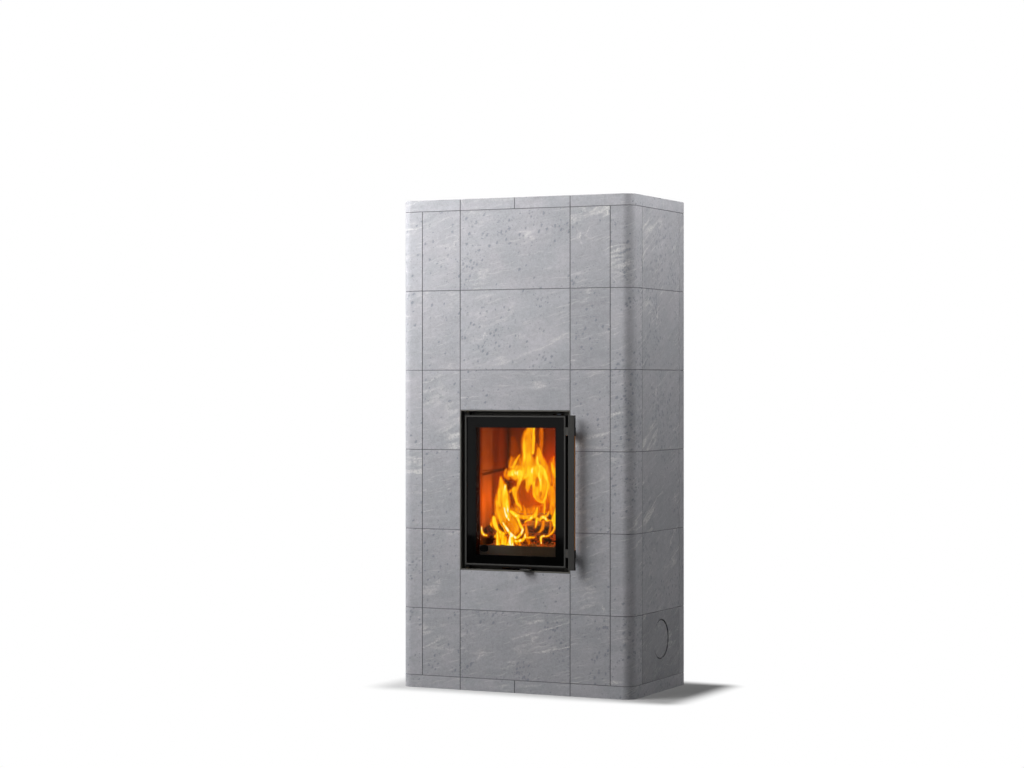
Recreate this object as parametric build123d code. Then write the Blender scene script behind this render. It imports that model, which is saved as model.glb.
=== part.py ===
from build123d import *
import os

# Soapstone masonry heater: a tower of facing stones round a brick core, with a glazed steel door.
# Millimetres. X runs to the right, Y to the back and Z up; the origin is the middle of the base.

# Stone body
body_width = 950.0
body_depth = 510.0
plinth_height = 47.0
base_course_height = 255.0
course_height = 300.0
full_courses = 5
top_slab_height = 43.0
centre_column_width = 453.0
corner_block_width = 88.0
corner_block_depth = 94.0
front_thickness = 60.0
side_thickness = 60.0
back_thickness = 50.0
corner_radius = 40.0
stone_bevel = 1.5

# Door opening, between the sill stone and the lintel stone
sill_stone_height = 150.0
lintel_stone_height = 150.0

# Steel door surround
surround_sheet = 3.5
lining_depth = 55.0
leaf_gap = 14.0
seal_seat_gap = 0.3
pocket_width = 34.0
pocket_height = 38.5
collar_rear_gap = 1.5
collar_slot_count = 7
collar_slot_length = 34.0
collar_slot_width = 12.0
collar_slot_pitch = 48.0

# Door leaf
leaf_setback = 1.0
leaf_depth = 26.0
leaf_web = 4.0
leaf_lip_width = 8.0
leaf_lip_thickness = 3.0
glass_thickness = 4.0
glass_edge_gap = 0.5
glass_corner_radius = 3.0
tape_thickness = 1.5
rear_tape_width = 10.0
inner_frame_sheet = 3.0
inner_frame_gap = 0.3
inner_frame_lip = 7.0
rope_width = 12.1
rope_gap = 0.3
rope_proud = 3.0
rope_rounding = 3.0

# Screws, as radius of head and shank and height of head
small_screw = (3.5, 2.0, 2.0)
large_screw = (4.5, 2.5, 2.5)
strip_screw = (3.0, 1.5, 1.0)
screw_clearance = 0.05
leaf_screw_heights = (0.2, 0.5, 0.8)
leaf_screw_offset = 100.0

# Hinge on the left
hinge_inset = 9.0
hinge_behind_face = 14.0
pin_radius = 4.0
pin_clearance = 0.05
lug_size = 18.0
lug_height = 8.5
hinge_collar_radius = 9.0
pin_end_gap = 0.5
top_collar_gap = 0.3

# Spring catch at the top right of the door
catch_from_leaf_edge = 44.0
tongue_width = 30.0
tongue_reach = 25.0
tongue_slot_margin = 5.0
tongue_slot_below = 2.5
catch_block_gap = 1.5
catch_block_size = 16.0
catch_behind_seat = 13.7
plunger_tip_radius = 3.0
plunger_collar_radius = 4.0
plunger_collar_height = 4.5
plunger_clearance = 0.05
catch_block_floor = 1.5
plunger_into_tongue = 2.5
tongue_hole_radius = 3.6
spring_wire_radius = 0.3
spring_radius = 2.8
spring_turns = 4

# Handle on the right
handle_width = 24.0
handle_from_leaf = 27.0
handle_face_out = 40.0
handle_plate_thickness = 4.0
handle_strip_depth = 10.0
handle_below_leaf = 3.5
handle_above_leaf = 0.5
handle_end_length = 75.0
handle_arm_height = 30.0
handle_arm_thickness = 6.0
handle_foot_depth = 19.0
handle_foot_bend = 3.0
handle_edge_bevel = 0.8
handle_screw_spacing = 16.0
strip_screw_count = 3

# Air control under the door
lever_travel = 104.0
lever_tab_width = 41.0
lever_tab_length = 19.0
lever_tab_thickness = 6.0
lever_tab_out = 22.0
lever_stem_width = 20.0
lever_stem_thickness = 3.0
lever_slot_margin = 3.0
shutter_thickness = 3.0
shutter_gap = 0.3
shutter_depth = 46.0
shutter_front_strip = 14.0
shutter_rear_strip = 6.0
air_hole_length = 56.0
air_hole_cover = 2.0
air_hole_first = -120.0
rail_width = 4.0
air_riser_depth = 45.0

# Core
core_depth = 320.0
liner_thickness = 45.0
liner_beside_collar = 1.0
floor_above_opening = 88.0
hearth_slab_thickness = 40.0
liner_course_height = 281.0
liner_courses = 2
throat_thickness = 60.0
throat_start = 125.0
throat_width = 100.0
chamber_course_height = 220.0
chamber_courses = 2
ceiling_thickness = 40.0
ceiling_post_depth = 60.0
support_slab_thickness = 50.0
rear_base_block_depth = 135.0

# Grate, ash pan and log guard
grate_length = 260.0
grate_width = 135.0
grate_thickness = 12.0
grate_from_front = 45.0
grate_rebate = 8.0
grate_clearance = 0.3
grate_bar = 9.0
grate_slot_count = 13
pit_side_margin = 5.0
pit_end_margin = 10.0
pan_clearance = 5.0
pan_height = 105.0
pan_sheet = 2.0
pan_rim = 5.0
pan_foot_gap = 0.3
guard_thickness = 4.0
guard_height = 43.5
guard_behind_seat = 50.0
guard_end_gap = 0.3

# Cleanout plugs, low on both sides
plug_hole_radius = 75.0
plug_ring_gap = 2.5
plug_recess = 2.0
plug_face_thickness = 20.0
plug_neck_radius = 60.0
plug_neck_clearance = 0.3
plug_from_back = 233.0
plug_height = 196.0

# Flue outlet at the back and combustion air inlet in the plinth
flue_bore_radius = 76.0
flue_sheet = 3.0
flue_hole_clearance = 0.3
flue_flange_radius = 95.0
flue_inner_reach = 10.0
flue_height = 175.0
air_inlet_radius = 50.0
air_inlet_from_front = 155.0

# Planes and heights that follow from the sizes above
half_width = body_width / 2
front_y = -body_depth / 2
back_y = body_depth / 2
front_inner_y = front_y + front_thickness
back_inner_y = back_y - back_thickness
corner_inner_y = front_y + corner_block_depth
side_inner_x = half_width - side_thickness
corner_inner_x = half_width - corner_block_width
column_x = centre_column_width / 2
base_top = plinth_height + base_course_height
stone_top = base_top + full_courses * course_height
course_levels = [plinth_height, base_top] + [base_top + course_height * (i + 1) for i in range(full_courses)]
opening_low = base_top + sill_stone_height
opening_high = course_levels[4] - lintel_stone_height

lining_x = column_x - surround_sheet
lining_low = opening_low + surround_sheet
lining_high = opening_high - surround_sheet
leaf_x = lining_x - leaf_gap
leaf_low = lining_low + leaf_gap
leaf_high = lining_high - leaf_gap
leaf_front_y = front_y + leaf_setback
leaf_rear_y = leaf_front_y + leaf_depth
seat_y = leaf_rear_y + rope_proud + seal_seat_gap
seat_rear_y = seat_y + surround_sheet
collar_x = lining_x - pocket_width
collar_low = lining_low + pocket_height + surround_sheet
collar_high = lining_high - pocket_height - surround_sheet

firebox_floor = opening_low + floor_above_opening
core_front_y = front_inner_y
core_back_y = core_front_y + core_depth
liner_inner_x = collar_x + liner_beside_collar
core_half_width = liner_inner_x + liner_thickness
riser_back_y = core_front_y + air_riser_depth
liner_base = firebox_floor - hearth_slab_thickness
liner_top = firebox_floor + liner_courses * liner_course_height
throat_top = liner_top + throat_thickness
chamber_top = throat_top + chamber_courses * chamber_course_height
ceiling_low = stone_top - ceiling_thickness
support_top = base_top + support_slab_thickness
grate_front_y = riser_back_y + grate_from_front
grate_back_y = grate_front_y + grate_width


def block(x, y, z):
    """Return a plain box from its low and high x, y and z."""
    size = Box(x[1] - x[0], y[1] - y[0], z[1] - z[0])
    return Pos((x[0] + x[1]) / 2, (y[0] + y[1]) / 2, (z[0] + z[1]) / 2) * size


def stone(x, y, z, plain_base=False):
    """Return a sawn stone: a box with every edge bevelled, or all but the edges that it is bedded on."""
    body = block(x, y, z)
    edges = body.edges()
    if plain_base:
        edges = edges - body.faces().sort_by(Axis.Z)[0].edges()
    return chamfer(edges, stone_bevel)


def rounded_stone(x, y, z, side, plain_base=False):
    """Return an end stone of the left (-1) or right (1) side, with its outer front edge rounded."""
    plan = Pos((x[0] + x[1]) / 2, (y[0] + y[1]) / 2) * Rectangle(x[1] - x[0], y[1] - y[0])
    outer_x, inner_x = (x[1], x[0]) if side > 0 else (x[0], x[1])
    for corner in ((inner_x, y[0]), (inner_x, y[1]), (outer_x, y[1])):
        plan = chamfer(plan.vertices().sort_by_distance(corner)[0], stone_bevel)
    plan = fillet(plan.vertices().sort_by_distance((outer_x, y[0]))[0], corner_radius)
    body = Pos(0, 0, z[0]) * extrude(plan, z[1] - z[0])
    rims = body.faces().sort_by(Axis.Z)[-1].edges()
    if not plain_base:
        rims += body.faces().sort_by(Axis.Z)[0].edges()
    return chamfer(rims, stone_bevel)


def ring(outer_x, outer_z, inner_x, inner_z, y):
    """Return an upright rectangular ring, even on both sides of x = 0, from its half widths and heights."""
    return block((-outer_x, outer_x), y, outer_z) - block((-inner_x, inner_x), y, inner_z)


def rod(start, direction, radius, length):
    """Return a round bar from a start point along a direction."""
    plane = Plane(origin=start, z_dir=direction)
    return plane * Pos(0, 0, length / 2) * Cylinder(radius, length)


def screw(under_head, direction, sizes, length):
    """Return a screw whose shank runs along direction from the seat of its head."""
    head_radius, shank_radius, head_height = sizes
    back = tuple(-d for d in direction)
    head = rod(under_head, back, head_radius, head_height)
    return head + rod(under_head, direction, shank_radius, length)


def save(name, *solids):
    """Write one node of the model, as one solid or as a group of separate ones."""
    shape = solids[0] if len(solids) == 1 else Compound(children=list(solids))
    export_step(shape, f"parts/{name}.step")


def make_plinth_and_top():
    """Make the slabs at the bottom and top, four across and each as deep as the body."""
    depth = (front_y, back_y)
    for name, levels in (("plinth", (0.0, plinth_height)), ("top", (stone_top, stone_top + top_slab_height))):
        bedded = name == "plinth"
        ends = [rounded_stone(sorted((side * column_x, side * half_width)), depth, levels, side, bedded)
                for side in (-1, 1)]
        save(f"{name}_end_slabs", *ends)
        left = stone((-column_x, 0.0), depth, levels, bedded)
        if name == "plinth":
            inlet = (-column_x / 2, front_y + air_inlet_from_front, 0.0)
            left -= rod(inlet, (0, 0, 1), air_inlet_radius, plinth_height)
        save(f"{name}_middle_left_slab", left)
        save(f"{name}_middle_right_slab", stone((0.0, column_x), depth, levels, bedded))


def make_front_and_corners():
    """Make the corner blocks, the front panels and the stones of the middle column."""
    courses = list(zip(course_levels[:-1], course_levels[1:]))
    for name, side in (("left", -1), ("right", 1)):
        corner_x = sorted((side * corner_inner_x, side * half_width))
        panel_x = sorted((side * column_x, side * corner_inner_x))
        save(f"corner_blocks_{name}",
             *[rounded_stone(corner_x, (front_y, corner_inner_y), z, side) for z in courses])
        save(f"front_panels_{name}", *[stone(panel_x, (front_y, front_inner_y), z) for z in courses])
    middle = (-column_x, column_x)
    facing = (front_y, front_inner_y)
    save("front_base_stone", stone(middle, facing, courses[0]))
    save("door_sill_stone", stone(middle, facing, (base_top, opening_low)))
    save("door_lintel_stone", stone(middle, facing, (opening_high, course_levels[4])))
    save("front_upper_stones", *[stone(middle, facing, z) for z in courses[4:]])


def make_sides():
    """Make the side panels, and low on each side the panel with its cleanout plug."""
    courses = list(zip(course_levels[:-1], course_levels[1:]))
    plug_y = back_y - plug_from_back
    along = (corner_inner_y, back_inner_y)
    for name, side in (("left", -1), ("right", 1)):
        across = sorted((side * side_inner_x, side * half_width))
        save(f"side_panels_{name}", *[stone(across, along, z) for z in courses[1:]])
        face = (side * half_width, plug_y, plug_height)
        inward = (-side, 0, 0)
        seat_depth = plug_recess + plug_face_thickness
        seat = (side * (half_width - seat_depth), plug_y, plug_height)
        neck_length = side_thickness - seat_depth
        panel = stone(across, along, courses[0]) - rod(face, inward, plug_hole_radius, seat_depth)
        panel -= rod(seat, inward, plug_neck_radius + plug_neck_clearance, neck_length)
        save(f"cleanout_panel_{name}", panel)
        disc_face = (side * (half_width - plug_recess), plug_y, plug_height)
        disc = rod(disc_face, inward, plug_hole_radius - plug_ring_gap, plug_face_thickness)
        outer_rim = disc.faces().sort_by(Axis.X)[0 if side < 0 else -1].edges()
        disc = chamfer(outer_rim, stone_bevel)
        save(f"cleanout_plug_{name}", disc + rod(seat, inward, plug_neck_radius, neck_length))


def make_back():
    """Make the back panels and the flue panel with its steel collar."""
    courses = list(zip(course_levels[:-1], course_levels[1:]))
    thickness = (back_inner_y, back_y)
    for name, side in (("left", -1), ("right", 1)):
        base_x = sorted((side * column_x, side * half_width))
        upper_x = sorted((0.0, side * half_width))
        save(f"back_panels_{name}",
             stone(base_x, thickness, courses[0]), *[stone(upper_x, thickness, z) for z in courses[1:]])
    sleeve_radius = flue_bore_radius + flue_sheet
    inner_end = (0.0, back_inner_y - flue_inner_reach, flue_height)
    sleeve_length = back_thickness + flue_inner_reach
    panel = stone((-column_x, column_x), thickness, courses[0])
    panel -= rod(inner_end, (0, 1, 0), sleeve_radius + flue_hole_clearance, sleeve_length)
    save("flue_panel", panel)
    collar = rod(inner_end, (0, 1, 0), sleeve_radius, sleeve_length)
    collar += rod((0.0, back_y, flue_height), (0, 1, 0), flue_flange_radius, flue_sheet)
    collar -= rod(inner_end, (0, 1, 0), flue_bore_radius, sleeve_length + flue_sheet)
    save("flue_collar", collar)


def make_base():
    """Make the blocks under the firebox, the ash pit and the hearth slabs round the grate."""
    sides = (-1, 1)
    base = (plinth_height, base_top)
    wall = [sorted((side * liner_inner_x, side * core_half_width)) for side in sides]
    rear = (core_back_y - rear_base_block_depth, core_back_y)
    save("base_blocks", *[stone(x, (core_front_y, core_back_y), base) for x in wall],
         stone((-liner_inner_x, liner_inner_x), rear, base))
    save("hearth_support_slab",
         stone((-core_half_width, core_half_width), (riser_back_y, back_inner_y), (base_top, support_top)))
    save("air_riser_cheeks", *[stone(x, (core_front_y, riser_back_y), (base_top, liner_base)) for x in wall])
    pit = (support_top, liner_base)
    pit_x = grate_length / 2 + pit_side_margin
    pit_y = (grate_front_y - pit_end_margin, grate_back_y + pit_end_margin)
    pit_sides = [stone(sorted((side * pit_x, side * core_half_width)), (riser_back_y, core_back_y), pit)
                 for side in sides]
    save("ash_pit_blocks", *pit_sides,
         stone((-pit_x, pit_x), (riser_back_y, pit_y[0]), pit),
         stone((-pit_x, pit_x), (pit_y[1], core_back_y), pit))
    floor = (liner_base, firebox_floor)
    opening_x = grate_length / 2
    whole = (-liner_inner_x, liner_inner_x)
    slabs = [stone(whole, (riser_back_y, grate_front_y), floor),
             stone(whole, (grate_back_y, core_back_y - liner_thickness), floor)]
    slabs += [stone(sorted((side * opening_x, side * liner_inner_x)), (grate_front_y, grate_back_y), floor)
              for side in sides]
    rebate = block((-opening_x - grate_rebate, opening_x + grate_rebate),
                   (grate_front_y - grate_rebate, grate_back_y + grate_rebate),
                   (firebox_floor - grate_thickness, firebox_floor))
    save("hearth_slabs", *[slab - rebate for slab in slabs])


def make_firebox():
    """Make the firebox liners, the throat, the upper chamber and its ceiling."""
    levels = [liner_base] + [firebox_floor + liner_course_height * (i + 1) for i in range(liner_courses)]
    liner_levels = list(zip(levels[:-1], levels[1:]))
    depth = (core_front_y, core_back_y)
    rear_liner = (core_back_y - liner_thickness, core_back_y)
    whole = (-liner_inner_x, liner_inner_x)
    for name, side in (("left", -1), ("right", 1)):
        wall_x = sorted((side * liner_inner_x, side * core_half_width))
        save(f"firebox_wall_{name}", *[stone(wall_x, depth, z) for z in liner_levels])
    save("firebox_back_wall", *[stone(whole, rear_liner, z) for z in liner_levels])
    save("firebox_lintel", stone(whole, (core_front_y, riser_back_y), (collar_high + surround_sheet, liner_top)))
    core_x = (-core_half_width, core_half_width)
    throat_y = (core_front_y + throat_start, core_front_y + throat_start + throat_width)
    throat = (liner_top, throat_top)
    throat_ends = [stone(sorted((side * liner_inner_x, side * core_half_width)), throat_y, throat)
                   for side in (-1, 1)]
    save("throat_stones", *throat_ends, stone(core_x, (core_front_y, throat_y[0]), throat),
         stone(core_x, (throat_y[1], core_back_y), throat))
    chamber = []
    for course in range(chamber_courses):
        low = throat_top + course * chamber_course_height
        level = (low, low + chamber_course_height)
        for side in (-1, 1):
            chamber.append(stone(sorted((side * liner_inner_x, side * core_half_width)), depth, level))
        chamber.append(stone(whole, (core_front_y, core_front_y + liner_thickness), level))
        chamber.append(stone(whole, rear_liner, level))
    save("upper_chamber_walls", *chamber)
    posts = []
    for side in (-1, 1):
        post_x = sorted((side * liner_inner_x, side * core_half_width))
        posts.append(stone(post_x, (core_front_y, core_front_y + ceiling_post_depth), (chamber_top, ceiling_low)))
        posts.append(stone(post_x, (core_back_y - ceiling_post_depth, core_back_y), (chamber_top, ceiling_low)))
    save("ceiling_posts", *posts)
    save("ceiling_slabs", *[stone(sorted((0.0, side * corner_inner_x)), (front_inner_y, back_inner_y),
                                  (ceiling_low, stone_top)) for side in (-1, 1)])
    save("rear_insulation_board",
         block((-core_half_width, core_half_width), (core_back_y, back_inner_y), (support_top, chamber_top)))


def shutter_place():
    """Return the x ranges of the two air holes and the front and rear y of the shutter."""
    second = air_hole_first + lever_travel + air_hole_length + 2 * air_hole_cover
    half = air_hole_length / 2
    holes = [(air_hole_first - half, air_hole_first + half), (second - half, second + half)]
    front = front_y + lining_depth
    return holes, (front, front + shutter_depth)


def make_surround():
    """Make the steel surround: lining, seal seat, collar, air shelf and shutter rails in one weldment."""
    lining = ring(column_x, (opening_low, opening_high), lining_x, (lining_low, lining_high),
                  (front_y, front_y + lining_depth))
    seat = ring(lining_x, (lining_low, lining_high), collar_x - surround_sheet, (collar_low, collar_high),
                (seat_y, seat_rear_y))
    collar_rear = riser_back_y - collar_rear_gap
    collar = ring(collar_x, (collar_low - surround_sheet, collar_high + surround_sheet),
                  collar_x - surround_sheet, (collar_low, collar_high), (seat_y, collar_rear))
    holes, shutter_y = shutter_place()
    shelf_x = liner_inner_x - seal_seat_gap
    shelf = block((-shelf_x, shelf_x), (front_y + lining_depth, riser_back_y), (opening_low, lining_low))
    rail_top = lining_low + shutter_thickness
    front_rail = block((-shelf_x, shelf_x), (shutter_y[0] - shutter_gap - rail_width, shutter_y[0] - shutter_gap),
                       (lining_low, rail_top))
    rear_rail = block((-shelf_x, shelf_x), (shutter_y[1] + shutter_gap, riser_back_y), (lining_low, rail_top))
    surround = lining + seat + collar + shelf + front_rail + rear_rail
    air_y = (shutter_y[0] + shutter_front_strip, shutter_y[1] - shutter_rear_strip)
    for hole in holes:
        surround -= block(hole, air_y, (opening_low, lining_low))
    slot_x = lever_travel / 2 + lever_stem_width / 2 + lever_slot_margin
    lever_top = lining_low + shutter_gap + shutter_thickness + lever_stem_thickness
    surround -= block((-slot_x, slot_x), (seat_y, seat_rear_y), (lining_low, lever_top + lever_slot_margin / 2))
    first_slot = -(collar_slot_count - 1) / 2 * collar_slot_pitch
    slot_y = (seat_rear_y + collar_rear) / 2
    for i in range(collar_slot_count):
        centre = first_slot + i * collar_slot_pitch
        surround -= block((centre - collar_slot_length / 2, centre + collar_slot_length / 2),
                          (slot_y - collar_slot_width / 2, slot_y + collar_slot_width / 2),
                          (collar_low - surround_sheet, collar_low))
    tongue_x = leaf_x - catch_from_leaf_edge
    tongue_half = tongue_width / 2 + tongue_slot_margin
    surround -= block((tongue_x - tongue_half, tongue_x + tongue_half), (seat_y, seat_rear_y),
                      (leaf_high - leaf_web - tongue_slot_below, leaf_high + tongue_slot_margin))
    hinge_x, hinge_y = hinge_place()
    surround -= rod((hinge_x, hinge_y, opening_low), (0, 0, 1), pin_radius + pin_clearance,
                    opening_high - opening_low)
    save("door_surround", surround)


def hinge_place():
    """Return the x and y of the door's hinge axis."""
    return -leaf_x + hinge_inset, leaf_front_y + hinge_behind_face


def inner_frame_place():
    """Return the y of the inner frame's front face and the half widths of its channel walls."""
    front = leaf_front_y + leaf_lip_thickness + 2 * tape_thickness + glass_thickness
    outer = leaf_x - leaf_web - inner_frame_gap
    channel_outer = outer - inner_frame_sheet
    channel_inner = channel_outer - rope_width - 2 * rope_gap
    return front, outer, channel_outer, channel_inner


def leaf_ring(outer, inner, y):
    """Return a ring that keeps the same distance from the leaf's edge all round."""
    outer_z = (leaf_low + leaf_x - outer, leaf_high - leaf_x + outer)
    inner_z = (leaf_low + leaf_x - inner, leaf_high - leaf_x + inner)
    return ring(outer, outer_z, inner, inner_z, y)


def leaf_screw_places():
    """Return the seat and direction of each screw through the leaf's edge into the inner frame."""
    front, _, _, _ = inner_frame_place()
    y = (front + inner_frame_sheet + leaf_rear_y) / 2
    places = []
    for share in leaf_screw_heights:
        z = leaf_low + share * (leaf_high - leaf_low)
        places += [((side * leaf_x, y, z), (-side, 0, 0)) for side in (-1, 1)]
    for x in (-leaf_screw_offset, leaf_screw_offset):
        places += [((x, y, leaf_low), (0, 0, 1)), ((x, y, leaf_high), (0, 0, -1))]
    return places


def make_leaf():
    """Make the door leaf: outer frame, glass between tapes, inner frame, seal rope and screws."""
    inner_front, inner_outer, channel_outer, channel_inner = inner_frame_place()
    hinge_x, hinge_y = hinge_place()
    lip_rear = leaf_front_y + leaf_lip_thickness
    frame = leaf_ring(leaf_x, leaf_x - leaf_web, (leaf_front_y, leaf_rear_y))
    frame += leaf_ring(leaf_x, leaf_x - leaf_lip_width, (leaf_front_y, lip_rear))
    lug_x = (hinge_x - lug_size / 2, hinge_x + lug_size / 2)
    lug_y = (hinge_y - lug_size / 2, hinge_y + lug_size / 2)
    frame += block(lug_x, lug_y, (leaf_high, leaf_high + lug_height))
    frame += block(lug_x, lug_y, (leaf_low - lug_height, leaf_low))
    bore = pin_radius + pin_clearance
    frame -= rod((hinge_x, hinge_y, leaf_high), (0, 0, 1), bore, lug_height)
    frame -= rod((hinge_x, hinge_y, leaf_low), (0, 0, -1), bore, lug_height)
    tongue_x = leaf_x - catch_from_leaf_edge
    frame += block((tongue_x - tongue_width / 2, tongue_x + tongue_width / 2),
                   (leaf_rear_y - leaf_web, leaf_rear_y + tongue_reach), (leaf_high - leaf_web, leaf_high))
    frame -= rod((tongue_x, catch_y(), leaf_high), (0, 0, -1), tongue_hole_radius, leaf_web)
    wall = leaf_web + inner_frame_gap + inner_frame_sheet
    hole = small_screw[1] + screw_clearance
    for start, direction in leaf_screw_places():
        frame -= rod(start, direction, hole, wall)
    for start, direction in handle_foot_screws():
        inner_face = (leaf_x, start[1], start[2])
        frame -= rod(inner_face, direction, large_screw[1] + screw_clearance, leaf_web)
    save("door_outer_frame", frame)

    glass_x = leaf_x - leaf_web - glass_edge_gap
    glass_front = lip_rear + tape_thickness
    glass_rear = glass_front + glass_thickness
    edge = leaf_x - glass_x
    glass = block((-glass_x, glass_x), (glass_front, glass_rear), (leaf_low + edge, leaf_high - edge))
    save("door_glass", fillet(glass.edges().filter_by(Axis.Y), glass_corner_radius))
    save("glass_tapes", leaf_ring(glass_x, leaf_x - leaf_lip_width, (lip_rear, glass_front)),
         leaf_ring(glass_x, glass_x - rear_tape_width, (glass_rear, inner_front)))

    channel_floor = inner_front + inner_frame_sheet
    inner = leaf_ring(inner_outer, channel_inner - inner_frame_sheet - inner_frame_lip,
                      (inner_front, channel_floor))
    inner += leaf_ring(inner_outer, channel_outer, (inner_front, leaf_rear_y))
    inner += leaf_ring(channel_inner, channel_inner - inner_frame_sheet, (inner_front, leaf_rear_y))
    for start, direction in leaf_screw_places():
        inner -= rod(start, direction, hole, wall)
    save("door_inner_frame", inner)
    save("door_frame_screws",
         *[screw(start, direction, small_screw, wall) for start, direction in leaf_screw_places()])

    rope = leaf_ring(channel_outer - rope_gap, channel_inner + rope_gap, (channel_floor, leaf_rear_y + rope_proud))
    crown = rope.faces().sort_by(Axis.Y)[-1].edges()
    save("door_seal_rope", fillet(crown, rope_rounding))


def make_hinge():
    """Make the two hinge pins and the collars that the leaf's lugs turn on."""
    hinge_x, hinge_y = hinge_place()
    save("hinge_pins",
         rod((hinge_x, hinge_y, opening_low), (0, 0, 1), pin_radius, leaf_low - pin_end_gap - opening_low),
         rod((hinge_x, hinge_y, opening_high), (0, 0, -1), pin_radius, opening_high - leaf_high - pin_end_gap))
    bore = pin_radius + pin_clearance
    collars = []
    for start, end in ((lining_low, leaf_low - lug_height), (leaf_high + lug_height + top_collar_gap, lining_high)):
        collar = rod((hinge_x, hinge_y, start), (0, 0, 1), hinge_collar_radius, end - start)
        collars.append(collar - rod((hinge_x, hinge_y, start), (0, 0, 1), bore, end - start))
    save("hinge_collars", *collars)


def catch_y():
    """Return the y of the catch's axis, behind the seal seat."""
    return seat_y + catch_behind_seat


def make_catch():
    """Make the spring catch: its block under the lining, the plunger and the spring behind it."""
    x = leaf_x - catch_from_leaf_edge
    y = catch_y()
    low = leaf_high + catch_block_gap
    half = catch_block_size / 2
    collar_low_z = low + catch_block_floor
    bore_radius = plunger_collar_radius + plunger_clearance
    housing = block((x - half, x + half), (y - half, y + half), (low, lining_high))
    housing -= rod((x, y, low), (0, 0, 1), plunger_tip_radius + plunger_clearance, catch_block_floor)
    housing -= rod((x, y, collar_low_z), (0, 0, 1), bore_radius, lining_high - collar_low_z)
    save("catch_block", housing)
    tip = leaf_high - plunger_into_tongue
    shank = rod((x, y, tip), (0, 0, 1), plunger_tip_radius, collar_low_z - tip)
    shank = fillet(shank.edges().sort_by(Axis.Z)[0], plunger_tip_radius * 0.9)
    collar = rod((x, y, collar_low_z), (0, 0, 1), plunger_collar_radius, plunger_collar_height)
    save("catch_plunger", shank + collar)
    spring_low = collar_low_z + plunger_collar_height + spring_wire_radius
    spring_height = lining_high - spring_wire_radius - spring_low
    path = Pos(x, y, spring_low) * Helix(spring_height / spring_turns, spring_height, spring_radius)
    section = Plane(origin=path @ 0, z_dir=path % 0) * Circle(spring_wire_radius)
    save("catch_spring", sweep(section, path=path))


def handle_place():
    """Return the handle's x range, its front, strip and back y, and its z range."""
    left = leaf_x + handle_from_leaf
    face = front_y - handle_face_out
    plate_back = face + handle_plate_thickness
    return ((left, left + handle_width), face, plate_back, plate_back + handle_strip_depth,
            (leaf_low - handle_below_leaf, leaf_high + handle_above_leaf))


def handle_arm_levels():
    """Return the low and high z of the lower and the upper arm."""
    _, _, _, _, z = handle_place()
    low = z[0] + handle_end_length
    high = z[1] - handle_end_length
    return (low - handle_arm_height, low), (high, high + handle_arm_height)


def handle_foot_screws():
    """Return the seat and direction of the screws from the arms' feet into the leaf's edge."""
    y = leaf_front_y + leaf_web + handle_foot_depth / 2
    places = []
    for low, high in handle_arm_levels():
        for offset in (-handle_screw_spacing / 2, handle_screw_spacing / 2):
            seat = (leaf_x + handle_arm_thickness, y, (low + high) / 2 + offset)
            places.append((seat, (-1, 0, 0)))
    return places


def make_handle():
    """Make the bar handle: steel face, steel ends, wood strip, the two arms and their screws."""
    x, face, plate_back, back, z = handle_place()
    levels = handle_arm_levels()
    ends = ((z[0], levels[0][1]), (levels[1][0], z[1]))
    strip = (levels[0][1], levels[1][0])
    middle = (x[0] + x[1]) / 2
    half = handle_arm_thickness / 2
    shank = large_screw[1] + screw_clearance
    pad_y = back + handle_arm_thickness
    pad_seats = [(middle, pad_y, (low + high) / 2 + offset) for low, high in levels
                 for offset in (-handle_screw_spacing / 2, handle_screw_spacing / 2)]
    pad_reach = handle_arm_thickness + handle_strip_depth * 0.8
    strip_step = (strip[1] - strip[0]) / strip_screw_count
    strip_seats = [(middle, back, strip[0] + strip_step * (i + 0.5)) for i in range(strip_screw_count)]
    strip_reach = handle_strip_depth + handle_plate_thickness / 2
    strip_hole = strip_screw[1] + screw_clearance

    plate = block(x, (face, plate_back), z)
    plate = chamfer(plate.faces().sort_by(Axis.Y)[0].edges(), handle_edge_bevel)
    wood = block(x, (plate_back, back), strip)
    wood = chamfer(wood.faces().sort_by(Axis.Y)[-1].edges().filter_by(Axis.Z), handle_edge_bevel)
    for seat in strip_seats:
        plate -= rod(seat, (0, -1, 0), strip_hole, strip_reach)
        wood -= rod(seat, (0, -1, 0), strip_hole, strip_reach)
    save("handle_front_plate", plate)
    save("handle_wood_strip", wood)

    blocks = [block(x, (plate_back, back), end) for end in ends]
    arms = []
    foot_x = leaf_x + half
    pad_line = back + half
    foot_y = leaf_front_y + leaf_web
    route = Polyline((foot_x, foot_y + handle_foot_depth), (foot_x, front_y - handle_foot_bend),
                     (x[0], pad_line), (x[1] - handle_edge_bevel, pad_line))
    plan = trace(route, handle_arm_thickness)
    for low, high in levels:
        arms.append(Pos(0, 0, low) * extrude(plan, high - low))
    for i, seat in enumerate(pad_seats):
        blocks[i // 2] -= rod(seat, (0, -1, 0), shank, pad_reach)
        arms[i // 2] -= rod(seat, (0, -1, 0), shank, pad_reach)
    for i, (seat, direction) in enumerate(handle_foot_screws()):
        arms[i // 2] -= rod(seat, direction, shank, handle_arm_thickness)
    save("handle_end_blocks", *blocks)
    save("handle_arms", *arms)

    foot_length = handle_arm_thickness + leaf_web
    save("handle_screws",
         *[screw(seat, direction, large_screw, foot_length) for seat, direction in handle_foot_screws()],
         *[screw(seat, (0, -1, 0), large_screw, pad_reach) for seat in pad_seats],
         *[screw(seat, (0, -1, 0), strip_screw, strip_reach) for seat in strip_seats])


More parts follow.
